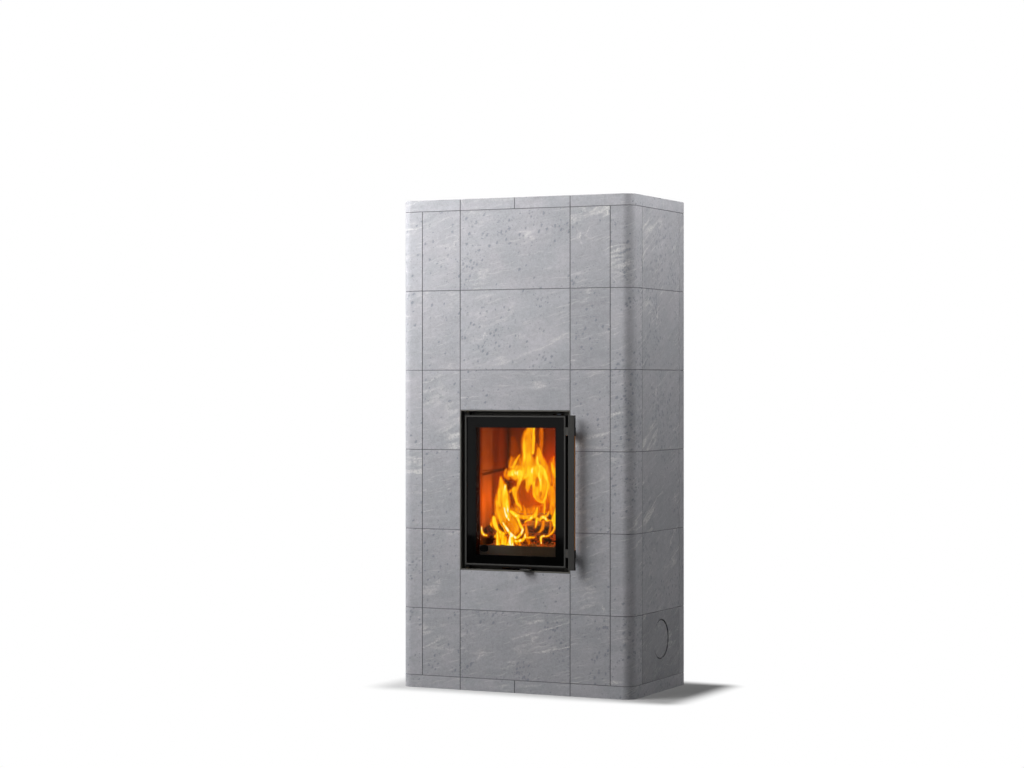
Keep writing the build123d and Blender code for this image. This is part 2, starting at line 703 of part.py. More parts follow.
def make_air_control():
    """Make the air lever under the door and the shutter that it slides over the air holes."""
    holes, shutter_y = shutter_place()
    low = lining_low + shutter_gap
    top = low + shutter_thickness
    solid = air_hole_length / 2 + air_hole_cover
    first = air_hole_first + lever_travel
    second = (holes[1][0] + holes[1][1]) / 2
    last = second + lever_travel
    shutter = block((first - solid, last + solid), shutter_y, (low, top))
    open_y = (shutter_y[0] + shutter_front_strip, shutter_y[1] - shutter_rear_strip)
    save("air_shutter", shutter - block(holes[1], open_y, (low, top)))
    centre = lever_travel / 2
    tab_front = front_y - lever_tab_out
    stem = block((centre - lever_stem_width / 2, centre + lever_stem_width / 2),
                 (tab_front + lever_tab_length / 2, shutter_y[0] + shutter_front_strip),
                 (top, top + lever_stem_thickness))
    tab_low = top + lever_stem_thickness / 2 - lever_tab_thickness / 2
    tab = block((centre - lever_tab_width / 2, centre + lever_tab_width / 2),
                (tab_front, tab_front + lever_tab_length), (tab_low, tab_low + lever_tab_thickness))
    tab = chamfer(tab.edges(), handle_edge_bevel)
    save("air_lever", stem + tab)


def make_grate_and_pan():
    """Make the cast grate, the ash pan under it and the log guard behind the door."""
    half_x = grate_length / 2 + grate_rebate - grate_clearance
    y = (grate_front_y - grate_rebate + grate_clearance, grate_back_y + grate_rebate - grate_clearance)
    levels = (firebox_floor - grate_thickness, firebox_floor)
    grate = block((-half_x, half_x), y, levels)
    rim = grate_rebate + grate_bar
    pitch = (2 * (half_x - rim) + grate_bar) / grate_slot_count
    for i in range(grate_slot_count):
        low = -half_x + rim + i * pitch
        grate -= block((low, low + pitch - grate_bar), (y[0] + rim, y[1] - rim), levels)
    save("grate", grate)

    pan_x = grate_length / 2 - pan_clearance
    pan_y = (grate_front_y + pan_clearance, grate_back_y - pan_clearance)
    pan_low = support_top + pan_foot_gap
    pan_top = pan_low + pan_height
    rim_x = pan_x - pan_rim
    rim_y = (pan_y[0] + pan_rim, pan_y[1] - pan_rim)
    pan = block((-rim_x, rim_x), rim_y, (pan_low, pan_top))
    pan += block((-pan_x, pan_x), pan_y, (pan_top - pan_sheet, pan_top))
    pan -= block((-rim_x + pan_sheet, rim_x - pan_sheet), (rim_y[0] + pan_sheet, rim_y[1] - pan_sheet),
                 (pan_low + pan_sheet, pan_top))
    save("ash_pan", pan)

    guard_x = collar_x - surround_sheet - guard_end_gap
    guard_y = seat_y + guard_behind_seat
    guard = block((-guard_x, guard_x), (guard_y, guard_y + guard_thickness),
                  (collar_low, collar_low + guard_height))
    save("log_guard", chamfer(guard.edges().filter_by(Axis.X), handle_edge_bevel))


os.makedirs("parts", exist_ok=True)
make_plinth_and_top()
make_front_and_corners()
make_sides()
make_back()
make_base()
make_firebox()
make_surround()
make_leaf()
make_hinge()
make_catch()
make_handle()
make_air_control()
make_grate_and_pan()
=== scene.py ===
import logging
import math
import random
from collections.abc import Callable, Iterable, Sequence
from dataclasses import dataclass
from enum import Enum
from functools import cached_property

import bpy
from mathutils import Matrix, Vector, noise


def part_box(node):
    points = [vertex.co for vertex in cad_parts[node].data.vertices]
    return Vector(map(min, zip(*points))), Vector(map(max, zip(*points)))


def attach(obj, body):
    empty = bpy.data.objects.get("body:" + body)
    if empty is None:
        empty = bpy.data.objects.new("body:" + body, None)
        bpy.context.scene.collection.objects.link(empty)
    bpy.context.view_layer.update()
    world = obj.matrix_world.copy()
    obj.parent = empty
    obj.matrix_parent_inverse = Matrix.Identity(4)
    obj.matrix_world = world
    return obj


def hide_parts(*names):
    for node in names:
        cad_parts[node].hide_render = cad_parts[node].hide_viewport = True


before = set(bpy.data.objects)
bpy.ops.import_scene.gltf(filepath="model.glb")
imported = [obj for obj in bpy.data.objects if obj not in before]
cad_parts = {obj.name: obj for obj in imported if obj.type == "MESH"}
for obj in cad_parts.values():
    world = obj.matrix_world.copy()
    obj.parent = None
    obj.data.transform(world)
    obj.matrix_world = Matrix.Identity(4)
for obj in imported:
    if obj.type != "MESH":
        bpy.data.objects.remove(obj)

# Looks of a soapstone masonry heater with a fire behind its glazed door. Lengths are millimetres in the
# sub-assemblies and finishes, and metres in the meshes and the studio.
LOG = logging.getLogger("masonry_heater")
MM = 0.001
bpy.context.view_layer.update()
HEAT_LAYER = "fire_heat"
SQUARE_ON = 0.93  # A face that looks less than this along every axis is a bevel

Colour = tuple[float, float, float, float]
Point = tuple[float, float, float]
Face = tuple[int, ...]
Signal = bpy.types.Node | bpy.types.NodeSocket


def linear(code: str) -> Colour:
    """Turn an sRGB hex colour into linear light.

    Args:
        code: Six hex digits after a hash sign.

    Returns:
        Red, green, blue and an alpha of 1.
    """
    parts = [int(code[i:i + 2], 16) / 255 for i in (1, 3, 5)]
    red, green, blue = [p / 12.92 if p <= 0.04045 else ((p + 0.055) / 1.055) ** 2.4 for p in parts]
    return red, green, blue, 1.0


def per_mm(size: float) -> float:
    """Return the texture scale, in cells per metre, of a pattern with cells of size mm."""
    return 1 / (size * MM)


class Recipe:
    """The node tree of one material, or of the world, while it is put together."""

    def __init__(self, name: str, for_world: bool = False) -> None:
        """Start an empty node tree.

        Args:
            name: The name of the material or world.
            for_world: Whether it is a world.
        """
        self.owner = (bpy.data.worlds if for_world else bpy.data.materials).new(name)
        self.owner.use_nodes = True
        self.tree = self.owner.node_tree
        self.tree.nodes.clear()

    @cached_property
    def place(self) -> bpy.types.NodeSocket:
        """The place on the heater, in its own frame."""
        return self.add("TexCoord").outputs["Object"]

    def add(self, kind: str, inputs: Sequence | dict = (), ramp: Sequence | None = None,
            **settings) -> bpy.types.Node:
        """Add one node with its settings, and set or link its inputs.

        Args:
            kind: The node's type, without the ShaderNode that every type here starts with.
            inputs: Values, sockets or nodes, in the order of the open inputs, or by input name.
            ramp: Stops of a colour ramp, each a place and a colour.
            **settings: Properties of the node.

        Returns:
            The new node.
        """
        node = self.tree.nodes.new("ShaderNode" + kind)
        for key, value in settings.items():
            setattr(node, key, value)
        if ramp:
            stops = node.color_ramp.elements
            while len(stops) < len(ramp):
                stops.new(0.5)
            for stop, (place, colour) in zip(stops, ramp):
                stop.position, stop.color = place, colour
        if not isinstance(inputs, dict):
            inputs = dict(zip([s.identifier for s in node.inputs if s.enabled], inputs))
            sockets = {s.identifier: s for s in node.inputs}
        else:
            sockets = {s.name: s for s in reversed(node.inputs)}
        for key, value in inputs.items():
            if isinstance(value, bpy.types.Node):
                value = next(s for s in value.outputs if s.enabled)
            if isinstance(value, bpy.types.NodeSocket):
                self.tree.links.new(value, sockets[key])
            else:
                sockets[key].default_value = value
        return node

    def blend(self, pattern: Signal, span: tuple[float, float], first: Signal | str, second: str,
              most: float = 1.0) -> bpy.types.Node:
        """Lay a second colour over a first one where a pattern is strong.

        Args:
            pattern: The pattern.
            span: The pattern's values where the second colour starts and where it has its full share.
            first: The first colour, as a node or a hex code.
            second: The hex code of the second colour.
            most: The second colour's full share.

        Returns:
            The mixed colour.
        """
        share = self.add("MapRange", [pattern, *span, 0.0, most])
        ground = linear(first) if isinstance(first, str) else first
        return self.add("Mix", [share, ground, linear(second)], data_type="RGBA")

    def bevels(self) -> tuple[bpy.types.Node, bpy.types.Node]:
        """Find the faces that look along none of the three axes.

        Returns:
            A node that is 1 on them, and one that tells how much a face looks up or down.
        """
        facing = self.add("SeparateXYZ", [self.add("NewGeometry").outputs["True Normal"]])
        sizes = [self.add("Math", [facing.outputs[axis]], operation="ABSOLUTE") for axis in "XYZ"]
        most = self.add("Math", [self.add("Math", sizes[:2], operation="MAXIMUM"), sizes[2]],
                        operation="MAXIMUM")
        return self.add("Math", [most, SQUARE_ON], operation="LESS_THAN"), sizes[2]

    def close(self, surface: bpy.types.Node, output: str = "OutputMaterial") -> bpy.types.ID:
        """Link the surface shader to the output and return the material or world."""
        self.add(output, {"Surface": surface})
        return self.owner


def build_mesh(name: str, points: Iterable[Point], faces: Iterable[Face]) -> bpy.types.Object:
    """Make a smooth mesh object from points in metres.

    Args:
        name: The piece's name.
        points: Vertex places in the heater's frame.
        faces: Vertex numbers of each face.

    Returns:
        The object, linked to the scene.
    """
    mesh = bpy.data.meshes.new(name)
    mesh.from_pydata(list(points), [], list(faces))
    mesh.validate()
    mesh.polygons.foreach_set("use_smooth", [True] * len(mesh.polygons))
    mesh.update()
    return link_object(name, mesh)


def link_object(name: str, data: bpy.types.ID, place: Point = (0.0, 0.0, 0.0)) -> bpy.types.Object:
    """Put a mesh, lamp or camera into the scene.

    Args:
        name: The object's name.
        data: Its mesh, lamp or camera.
        place: Where it is, in metres.

    Returns:
        The object.
    """
    item = bpy.data.objects.new(name, data)
    item.location = place
    bpy.context.scene.collection.objects.link(item)
    return item


def grid_faces(rows: int, columns: int, wrap_rows: bool = False, wrap_columns: bool = False,
               first: int = 0) -> list[Face]:
    """Return the quads of a grid of points.

    Args:
        rows: Points in the slow direction.
        columns: Points in the fast direction.
        wrap_rows: Whether the last row joins the first.
        wrap_columns: Whether the last column joins the first.
        first: The number of the grid's first point.

    Returns:
        One face for each cell.
    """
    faces = []
    for i in range(rows if wrap_rows else rows - 1):
        for j in range(columns if wrap_columns else columns - 1):
            here, below = first + i * columns, first + (i + 1) % rows * columns
            side = (j + 1) % columns
            faces.append((here + j, here + side, below + side, below + j))
    return faces


def dress(names: Iterable[str], material: bpy.types.Material) -> None:
    """Give CAD nodes a material.

    Args:
        names: The nodes.
        material: The material for all of each node's faces.
    """
    for name in names:
        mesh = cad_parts[name].data
        if not mesh.materials:
            mesh.materials.append(material)
        for i in range(len(mesh.materials)):
            mesh.materials[i] = material
        LOG.info("%s wears %s", name, material.name)


def finish_piece(piece: bpy.types.Object, material: bpy.types.Material, body: str,
                 nodes: Sequence[str] = ()) -> None:
    """Dress a new piece, let it ride on its body and say what it stands for.

    Args:
        piece: The new piece.
        material: Its material.
        body: The CAD body that it moves with.
        nodes: CAD nodes that the piece takes the place of.
    """
    piece.data.materials.clear()
    piece.data.materials.append(material)
    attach(piece, body)
    if nodes:
        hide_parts(*nodes)
    LOG.info("%s rides on %s, with %d faces", piece.name, body, len(piece.data.polygons))


class Bedding(Enum):
    """How a block's layers lie: their rise to the right and to the back, and the lean of its dark grains."""

    RISING = (13.0, 31.0, 62.0)
    GENTLE = (9.0, 20.0, 40.0)
    STEEP = (24.0, 26.0, 70.0)


@dataclass(frozen=True)
class Shade:
    """One noise that shades the stone. A layered one is drawn out along the bedding."""

    size: float
    detail: float
    roughness: float
    share: float
    layered: bool = False


@dataclass(frozen=True)
class Grain:
    """One kind of dark grain: its cell in mm, its stretch, its share of the cells out of and in a cluster."""

    size: float
    stretch: Point
    scarce: float
    crowded: float
    depth: float


@dataclass(frozen=True)
class Thread:
    """One kind of pale thread, which is where a noise passes through its middle value.

    Its field is the noise's size in mm, drawn out along the bedding by its stretch. Its width is given in the
    noise's own values. It shows in patches, from the first value of patch to the second, with its strength.
    """

    field: float
    stretch: float
    width: float
    patch: tuple[float, float]
    strength: float


@dataclass(frozen=True)
class HonedSoapstone:
    """Soapstone, sawn and lightly honed.

    Talc gives the eye a soft, almost waxy grey with a violet cast, magnesite gives pale threads and scratches
    along the bedding, and chlorite gives blue grey grains that lie in clusters.

    Attributes:
        name: The material's name.
        seed: Where in the quarry it comes from.
        bedding: How its layers lie.
        tone: Its lightness.
        veins: The strength of its pale marks.
        grains: How many dark grains it has.
        wide: Whether its blocks cross the tower's middle.
        round_edge: The middle, as y and z, and the radius of a round stone, in metres.
    """

    name: str
    seed: float
    bedding: Bedding = Bedding.RISING
    tone: float = 1.0
    veins: float = 1.0
    grains: float = 1.0
    wide: bool = False
    round_edge: tuple[float, float, float] | None = None
    cool_grey: str = "#a5a6ab"
    warm_grey: str = "#a9a8ad"
    vein_colour: str = "#d2d1cf"
    grain_colour: str = "#82868e"
    joint_colour: str = "#4a4a4e"
    course: float = 300.0
    first_course: float = 302.0
    # How much luck changes a block's tone and, in degrees, the rise of its layers
    tone_luck: float = 0.06
    rise_luck: float = 12.0
    # The same greys at four sizes: clouds, layers, mottle and grit
    shades: tuple[Shade, ...] = (Shade(110, 3.0, 0.5, 0.20), Shade(30, 5.0, 0.6, 0.34, True),
                                 Shade(13, 3.0, 0.6, 0.34), Shade(5, 2.0, 0.6, 0.40))
    grain_kinds: tuple[Grain, ...] = (Grain(15, (0.66, 1.0, 1.0), 0.10, 0.62, 0.78),
                                      Grain(9, (1.0, 1.0, 0.8), 0.08, 0.40, 0.62))
    # Long threads, short ones and rare curls
    threads: tuple[Thread, ...] = (Thread(150, 7.5, 0.016, (0.51, 0.62), 0.85),
                                   Thread(64, 7.0, 0.022, (0.52, 0.66), 0.6),
                                   Thread(85, 1.3, 0.020, (0.63, 0.70), 0.8))
    fleck_share: float = 0.13
    # Limits just inside the tower's rounded corners, side faces, back face and top face
    corner_x: float = 434.5
    corner_y: float = -214.5
    side_x: float = 473.4
    back_y: float = 253.4
    top_z: float = 1843.4
    # How dark lying joints are, upright ones in the front and in the sides
    lying_share: float = 0.62
    front_share: float = 0.8
    side_share: float = 0.35
    plug_joint: float = 2.5

    def material(self) -> bpy.types.Material:
        """Build the stone, with a pattern of its own for each block of a node.

        Returns:
            The material.
        """
        r = Recipe(self.name)
        rise, back, lean = [math.radians(a) for a in self.bedding.value]
        luck, shifted = self.each_block(r)
        wander = math.radians(self.rise_luck)
        turn = r.add("Math", [luck.outputs["Value"], wander, rise - wander / 2], operation="MULTIPLY_ADD")
        along = r.add("VectorRotate", {"Vector": shifted, "Axis": (0, 1, 0), "Angle": turn})
        bed = r.add("VectorRotate", {"Vector": along, "Axis": (1, 0, 0), "Angle": -back})
        colour = self.ground(r, shifted, bed, luck)
        colour = self.dark_grains(r, shifted, lean, colour)
        colour = self.pale_marks(r, shifted, bed, colour)
        colour = r.add("Mix", [self.joints(r), colour, linear(self.joint_colour)], data_type="RGBA")
        fine = r.add("TexNoise", {"Vector": shifted, "Scale": per_mm(2.4), "Detail": 3.0, "Roughness": 0.7})
        gloss = r.add("MapRange", [fine, 0.3, 0.7, 0.56, 0.7])
        relief = r.add("Bump", {"Strength": 0.25, "Distance": 0.4 * MM, "Height": fine})
        return r.close(r.add("BsdfPrincipled", {"Base Color": colour, "Roughness": gloss, "IOR": 1.55,
                                                "Specular IOR Level": 0.3, "Normal": relief}))

    def each_block(self, r: Recipe) -> tuple[bpy.types.Node, bpy.types.Node]:
        """Tell the blocks of a node apart by course, and by side where no block crosses the middle.

        Args:
            r: The material's recipe.

        Returns:
            A random node for the block, and the place moved by it.
        """
        split = r.add("SeparateXYZ", [r.place])
        level = r.add("Math", [split.outputs["Z"], per_mm(self.course), -self.first_course / self.course],
                      operation="MULTIPLY_ADD")
        course = r.add("Math", [level], operation="FLOOR")
        # All of a wide block counts as right, since it lies right of a place far out on the left
        right = r.add("Math", [split.outputs["X"], -9.0 if self.wide else 0.0], operation="GREATER_THAN")
        # The sides lie no whole number of courses apart, so that no two blocks share their luck
        block = r.add("Math", [right, 5.31, course], operation="MULTIPLY_ADD")
        luck = r.add("TexWhiteNoise", {"W": r.add("Math", [block, self.seed], operation="ADD")},
                     noise_dimensions="1D")
        # Luck takes a block's pattern from anywhere in a quarry 30 m wide
        far = r.add("VectorMath", {"Vector": luck.outputs["Color"], "Scale": 30.0}, operation="SCALE")
        return luck, r.add("VectorMath", [r.place, far], operation="ADD")

    def ground(self, r: Recipe, shifted: Signal, bed: Signal, luck: bpy.types.Node) -> bpy.types.Node:
        """Mix the two greys in clouds, and shade them by block, by layer and by grain.

        Args:
            r: The material's recipe.
            shifted: The place, moved by the block's luck.
            bed: That place, turned so that its Z goes across the layers.
            luck: The block's luck.

        Returns:
            The colour.
        """
        layers = r.add("VectorMath", [bed, (0.16, 0.16, 1.0)], operation="MULTIPLY")
        patterns = [r.add("TexNoise", {"Vector": layers if shade.layered else shifted,
                                       "Scale": per_mm(shade.size), "Detail": shade.detail,
                                       "Roughness": shade.roughness}) for shade in self.shades]
        greys = r.blend(patterns[0], (0.35, 0.65), self.cool_grey, self.warm_grey)
        tone = r.add("Math", [luck.outputs["Value"], self.tone_luck, self.tone - self.tone_luck / 2],
                     operation="MULTIPLY_ADD")
        for pattern, shade in zip(patterns, self.shades):
            even = r.add("Math", [pattern, 0.5], operation="SUBTRACT")
            tone = r.add("Math", [even, shade.share, tone], operation="MULTIPLY_ADD")
        return r.add("VectorMath", {"Vector": greys, "Scale": tone}, operation="SCALE")

    def dark_grains(self, r: Recipe, shifted: Signal, lean: float, colour: Signal) -> bpy.types.Node:
        """Scatter dark grains 5 to 16 mm long, in clusters.

        Args:
            r: The material's recipe.
            shifted: The place, moved by the block's luck.
            lean: How far their long way leans, in radians.
            colour: The stone's colour without them.

        Returns:
            The colour with them.
        """
        ragged = r.add("TexNoise", {"Vector": shifted, "Scale": per_mm(8), "Detail": 3.0})
        nudge = r.add("VectorMath", {"Vector": ragged.outputs["Color"], "Scale": 10 * MM}, operation="SCALE")
        turned = r.add("VectorRotate", {"Vector": r.add("VectorMath", [shifted, nudge], operation="ADD"),
                                        "Axis": (0, 1, 0), "Angle": lean})
        clusters = r.add("TexNoise", {"Vector": shifted, "Scale": per_mm(170), "Detail": 3.0})
        for kind in self.grain_kinds:
            drawn = r.add("VectorMath", [turned, kind.stretch], operation="MULTIPLY")
            cells = r.add("TexVoronoi", {"Vector": drawn, "Scale": per_mm(kind.size)})
            chance = r.add("SeparateXYZ", [cells.outputs["Color"]])
            reach = r.add("MapRange", [clusters, 0.42, 0.64, kind.scarce, kind.crowded * self.grains])
            # A cell with chance to spare has a large grain, and one without any has none
            spare = r.add("Math", [reach, chance.outputs["X"]], operation="SUBTRACT")
            outer = r.add("MapRange", [spare, 0.0, 0.4, 0.2, 0.46])
            core = r.add("Math", [outer, 0.35], operation="MULTIPLY")
            grain = r.add("MapRange", [cells.outputs["Distance"], outer, core, 0.0, kind.depth],
                          interpolation_type="SMOOTHSTEP")
            kept = r.add("Math", [grain, r.add("Math", [spare, 0.0], operation="GREATER_THAN")],
                         operation="MULTIPLY")
            colour = r.add("Mix", [kept, colour, linear(self.grain_colour)], data_type="RGBA")
        return colour

    def pale_marks(self, r: Recipe, shifted: Signal, bed: Signal, colour: Signal) -> bpy.types.Node:
        """Draw pale threads 2 to 6 mm wide along the layers, rare curls, fine scratches and short flecks.

        Args:
            r: The material's recipe.
            shifted: The place, moved by the block's luck.
            bed: That place, turned so that its Z goes across the layers.
            colour: The stone's colour without them.

        Returns:
            The colour with them.
        """
        warp = r.add("TexNoise", {"Vector": shifted, "Scale": per_mm(30), "Detail": 3.0})
        bend = r.add("VectorMath", {"Vector": warp.outputs["Color"], "Scale": 14 * MM}, operation="SCALE")
        bent = r.add("VectorMath", [bed, bend], operation="ADD")
        whole = self.flecks(r, bent)
        for kind in self.threads:
            along = 1 / kind.stretch
            drawn = r.add("VectorMath", [bent, (along, along, 1.0)], operation="MULTIPLY")
            field = r.add("TexNoise", {"Vector": drawn, "Scale": per_mm(kind.field), "Detail": 4.0})
            off = r.add("Math", [r.add("Math", [field, 0.5], operation="SUBTRACT")], operation="ABSOLUTE")
            line = r.add("MapRange", [off, 0.0, kind.width, 1.0, 0.0], interpolation_type="SMOOTHSTEP")
            # The patches that hold the threads are 1.6 times as large as their field
            patches = r.add("TexNoise", {"Vector": bed, "Scale": per_mm(kind.field * 1.6), "Detail": 2.0})
            patch = r.add("MapRange", [patches, *kind.patch, 0.0, kind.strength * self.veins])
            thread = r.add("Math", [line, patch], operation="MULTIPLY")
            whole = r.add("Math", [whole, thread], operation="MAXIMUM")
        crumble = r.add("TexNoise", {"Vector": shifted, "Scale": per_mm(7), "Detail": 3.0})
        broken = r.add("MapRange", [crumble, 0.36, 0.58, 0.15, 1.0])
        pale = r.add("Math", [whole, broken], operation="MULTIPLY")
        drawn = r.add("VectorMath", [bent, (0.07, 0.07, 1.0)], operation="MULTIPLY")
        scored = r.add("TexNoise", {"Vector": drawn, "Scale": per_mm(5), "Detail": 2.0})
        scratch = r.add("MapRange", [scored, 0.60, 0.74, 0.0, 0.42 * self.veins])
        marks = r.add("Math", [pale, scratch], operation="MAXIMUM")
        return r.add("Mix", [marks, colour, linear(self.vein_colour)], data_type="RGBA")

    def flecks(self, r: Recipe, bent: Signal) -> bpy.types.Node:
        """Scatter short pale flecks.

        Args:
            r: The material's recipe.
            bent: The place along and across the layers.

        Returns:
            A node that is 0 between the flecks.
        """
        drawn = r.add("VectorMath", [bent, (0.35, 1, 1.3)], operation="MULTIPLY")
        cells = r.add("TexVoronoi", {"Vector": drawn, "Scale": per_mm(34)})
        chance = r.add("SeparateXYZ", [cells.outputs["Color"]])
        kept = r.add("Math", [chance.outputs["X"], self.fleck_share], operation="LESS_THAN")
        fleck = r.add("MapRange", [cells.outputs["Distance"], 0.12, 0.04, 0.0, 0.7 * self.veins])
        return r.add("Math", [fleck, kept], operation="MULTIPLY")

    def joints(self, r: Recipe) -> bpy.types.Node:
        """Find the bevels that meet in a joint, which dust and shade make dark, but not the outer arrises.

        Args:
            r: The material's recipe.

        Returns:
            A node that is 0 out of the joints, and higher the darker they are.
        """
        if self.round_edge:
            y, z, radius = self.round_edge
            spoke = r.add("VectorMath", [r.place, (0, y, z)], operation="SUBTRACT")
            across = r.add("VectorMath", [spoke, (0, 1, 1)], operation="MULTIPLY")
            away = r.add("VectorMath", [across], operation="LENGTH").outputs["Value"]
            return r.add("Math", [away, radius - self.plug_joint * MM], operation="GREATER_THAN")
        bevel, looks_up = r.bevels()
        split = r.add("SeparateXYZ", [r.place])
        out = r.add("Math", [split.outputs["X"]], operation="ABSOLUTE")
        level = r.add("Math", [looks_up, 0.3], operation="GREATER_THAN")
        below_top = r.add("Math", [split.outputs["Z"], self.top_z * MM], operation="LESS_THAN")
        lying = r.add("Math", [r.add("Math", [level, below_top], operation="MULTIPLY"), self.lying_share],
                      operation="MULTIPLY")
        corner = [r.add("Math", [out, self.corner_x * MM], operation="GREATER_THAN"),
                  r.add("Math", [split.outputs["Y"], self.corner_y * MM], operation="LESS_THAN")]
        at_side = r.add("Math", [out, self.side_x * MM], operation="GREATER_THAN")
        at_back = r.add("Math", [split.outputs["Y"], self.back_y * MM], operation="GREATER_THAN")
        outer = r.add("Math", [r.add("Math", corner, operation="MULTIPLY"),
                               r.add("Math", [at_side, at_back], operation="MULTIPLY")], operation="ADD")
        upright = r.add("Math", [r.add("Math", [1.0, part], operation="SUBTRACT") for part in (outer, level)],
                        operation="MULTIPLY")
        faint = r.add("MapRange", [at_side, 0.0, 1.0, self.front_share, self.side_share])
        either = r.add("Math", [upright, faint, lying], operation="MULTIPLY_ADD", use_clamp=True)
        return r.add("Math", [bevel, either], operation="MULTIPLY")


@dataclass(frozen=True)
class SawnCoreStone:
    """Firebox soapstone, sawn and used.

    The saw leaves a duller and coarser face than honing does. The fire has browned it, turned it red where it
    is hottest and streaked it with soot; its warm red brown is also painted firelight. Its two back corners
    are darker.
    """

    name: str = "core soapstone, sawn and fired"
    stone: str = "#6a4e34"
    browned: str = "#553821"
    heat_red_and_painted_firelight: str = "#583013"
    soot: str = "#1c1510"
    joint: str = "#1c1511"
    saw_pitch: float = 6.0
    # The firebox walls' distance from the middle, and the depth at which its back wall stands
    wall: float = 190.0
    back: float = 80.0
    # The stone is red behind the first of these depths and fully so at the second
    red_from: tuple[float, float] = (-35.0, -15.0)
    # The open seam in the left wall: y and z of its two ends, and its half width without and with its edge
    seam_front: tuple[float, float] = (-158.0, 806.4)
    seam_back: tuple[float, float] = (80.0, 821.5)
    seam_half: tuple[float, float] = (4.0, 7.5)

    def material(self) -> bpy.types.Material:
        """Build the stone with saw lines, brown clouds, red that is partly painted firelight, soot and darker
        corners.

        Returns:
            The material.
        """
        r = Recipe(self.name)
        split = r.add("SeparateXYZ", [r.place])
        clouds = r.add("TexNoise", {"Vector": r.place, "Scale": per_mm(90), "Detail": 6.0, "Roughness": 0.6})
        colour = r.blend(clouds, (0.35, 0.65), self.stone, self.browned)
        uneven = r.add("Math", [clouds, 0.05, split.outputs["Y"]], operation="MULTIPLY_ADD")
        # Red deeper in the box: heat colour, and painted firelight too
        colour = r.blend(uneven, tuple(y * MM for y in self.red_from), colour, self.heat_red_and_painted_firelight, 0.85)
        tall = r.add("VectorMath", [r.place, (1, 1, 0.2)], operation="MULTIPLY")
        licked = r.add("TexNoise", {"Vector": tall, "Scale": per_mm(45), "Detail": 4.0})
        sooty = r.add("MapRange", [licked, 0.5, 0.72, 0.0, 0.65])
        dark = r.add("Math", [r.add("Math", [sooty, self.corners(r, split)], operation="MAXIMUM"),
                              self.open_seam(r, split, clouds)], operation="MAXIMUM")
        colour = r.add("Mix", [dark, colour, linear(self.soot)], data_type="RGBA")
        colour = r.add("Mix", [r.bevels()[0], colour, linear(self.joint)], data_type="RGBA")
        saw = r.add("TexWave", {"Vector": r.place, "Scale": per_mm(self.saw_pitch) / math.pi,
                                "Distortion": 2.5, "Detail": 2.0}, bands_direction="DIAGONAL")
        grit = r.add("TexNoise", {"Vector": r.place, "Scale": per_mm(3), "Detail": 4.0})
        height = r.add("Math", [saw, 0.35, grit], operation="MULTIPLY_ADD")
        relief = r.add("Bump", {"Strength": 0.4, "Distance": 0.8 * MM, "Height": height})
        return r.close(r.add("BsdfPrincipled", {"Base Color": colour, "Roughness": 0.85, "IOR": 1.55,
                                                "Specular IOR Level": 0.15, "Normal": relief}))

    def corners(self, r: Recipe, split: bpy.types.Node) -> bpy.types.Node:
        """Find the two upright back corners of the firebox, which are made darker.

        Args:
            r: The material's recipe.
            split: The place, axis by axis.

        Returns:
            A node that rises to 0.8 in them.
        """
        out = r.add("Math", [split.outputs["X"]], operation="ABSOLUTE")
        beside = r.add("MapRange", [out, (self.wall - 20) * MM, (self.wall - 6) * MM, 0.0, 0.8])
        starts, full = (self.back - 34) * MM, (self.back - 12) * MM
        behind = r.add("MapRange", [split.outputs["Y"], starts, full, 0.0, 1.0])
        return r.add("Math", [beside, behind], operation="MULTIPLY")

    def open_seam(self, r: Recipe, split: bpy.types.Node, clouds: bpy.types.Node) -> bpy.types.Node:
        """Find the crumbled seam of the left wall, which drops to the front.

        Args:
            r: The material's recipe.
            split: The place, axis by axis.
            clouds: A noise that makes the seam uneven.

        Returns:
            A node that is high along the seam.
        """
        (y1, z1), (y2, z2) = self.seam_front, self.seam_back
        fall = (z2 - z1) / (y2 - y1)
        rough = r.add("Math", [clouds, 12 * MM, (z1 - fall * y1 - 6) * MM], operation="MULTIPLY_ADD")
        level = r.add("Math", [split.outputs["Y"], fall, rough], operation="MULTIPLY_ADD")
        off = r.add("Math", [r.add("Math", [split.outputs["Z"], level], operation="SUBTRACT")],
                    operation="ABSOLUTE")
        line = r.add("MapRange", [off, *[half * MM for half in self.seam_half], 0.95, 0.0])
        left = r.add("Math", [split.outputs["X"], (10 - self.wall) * MM], operation="LESS_THAN")
        return r.add("Math", [line, left], operation="MULTIPLY")


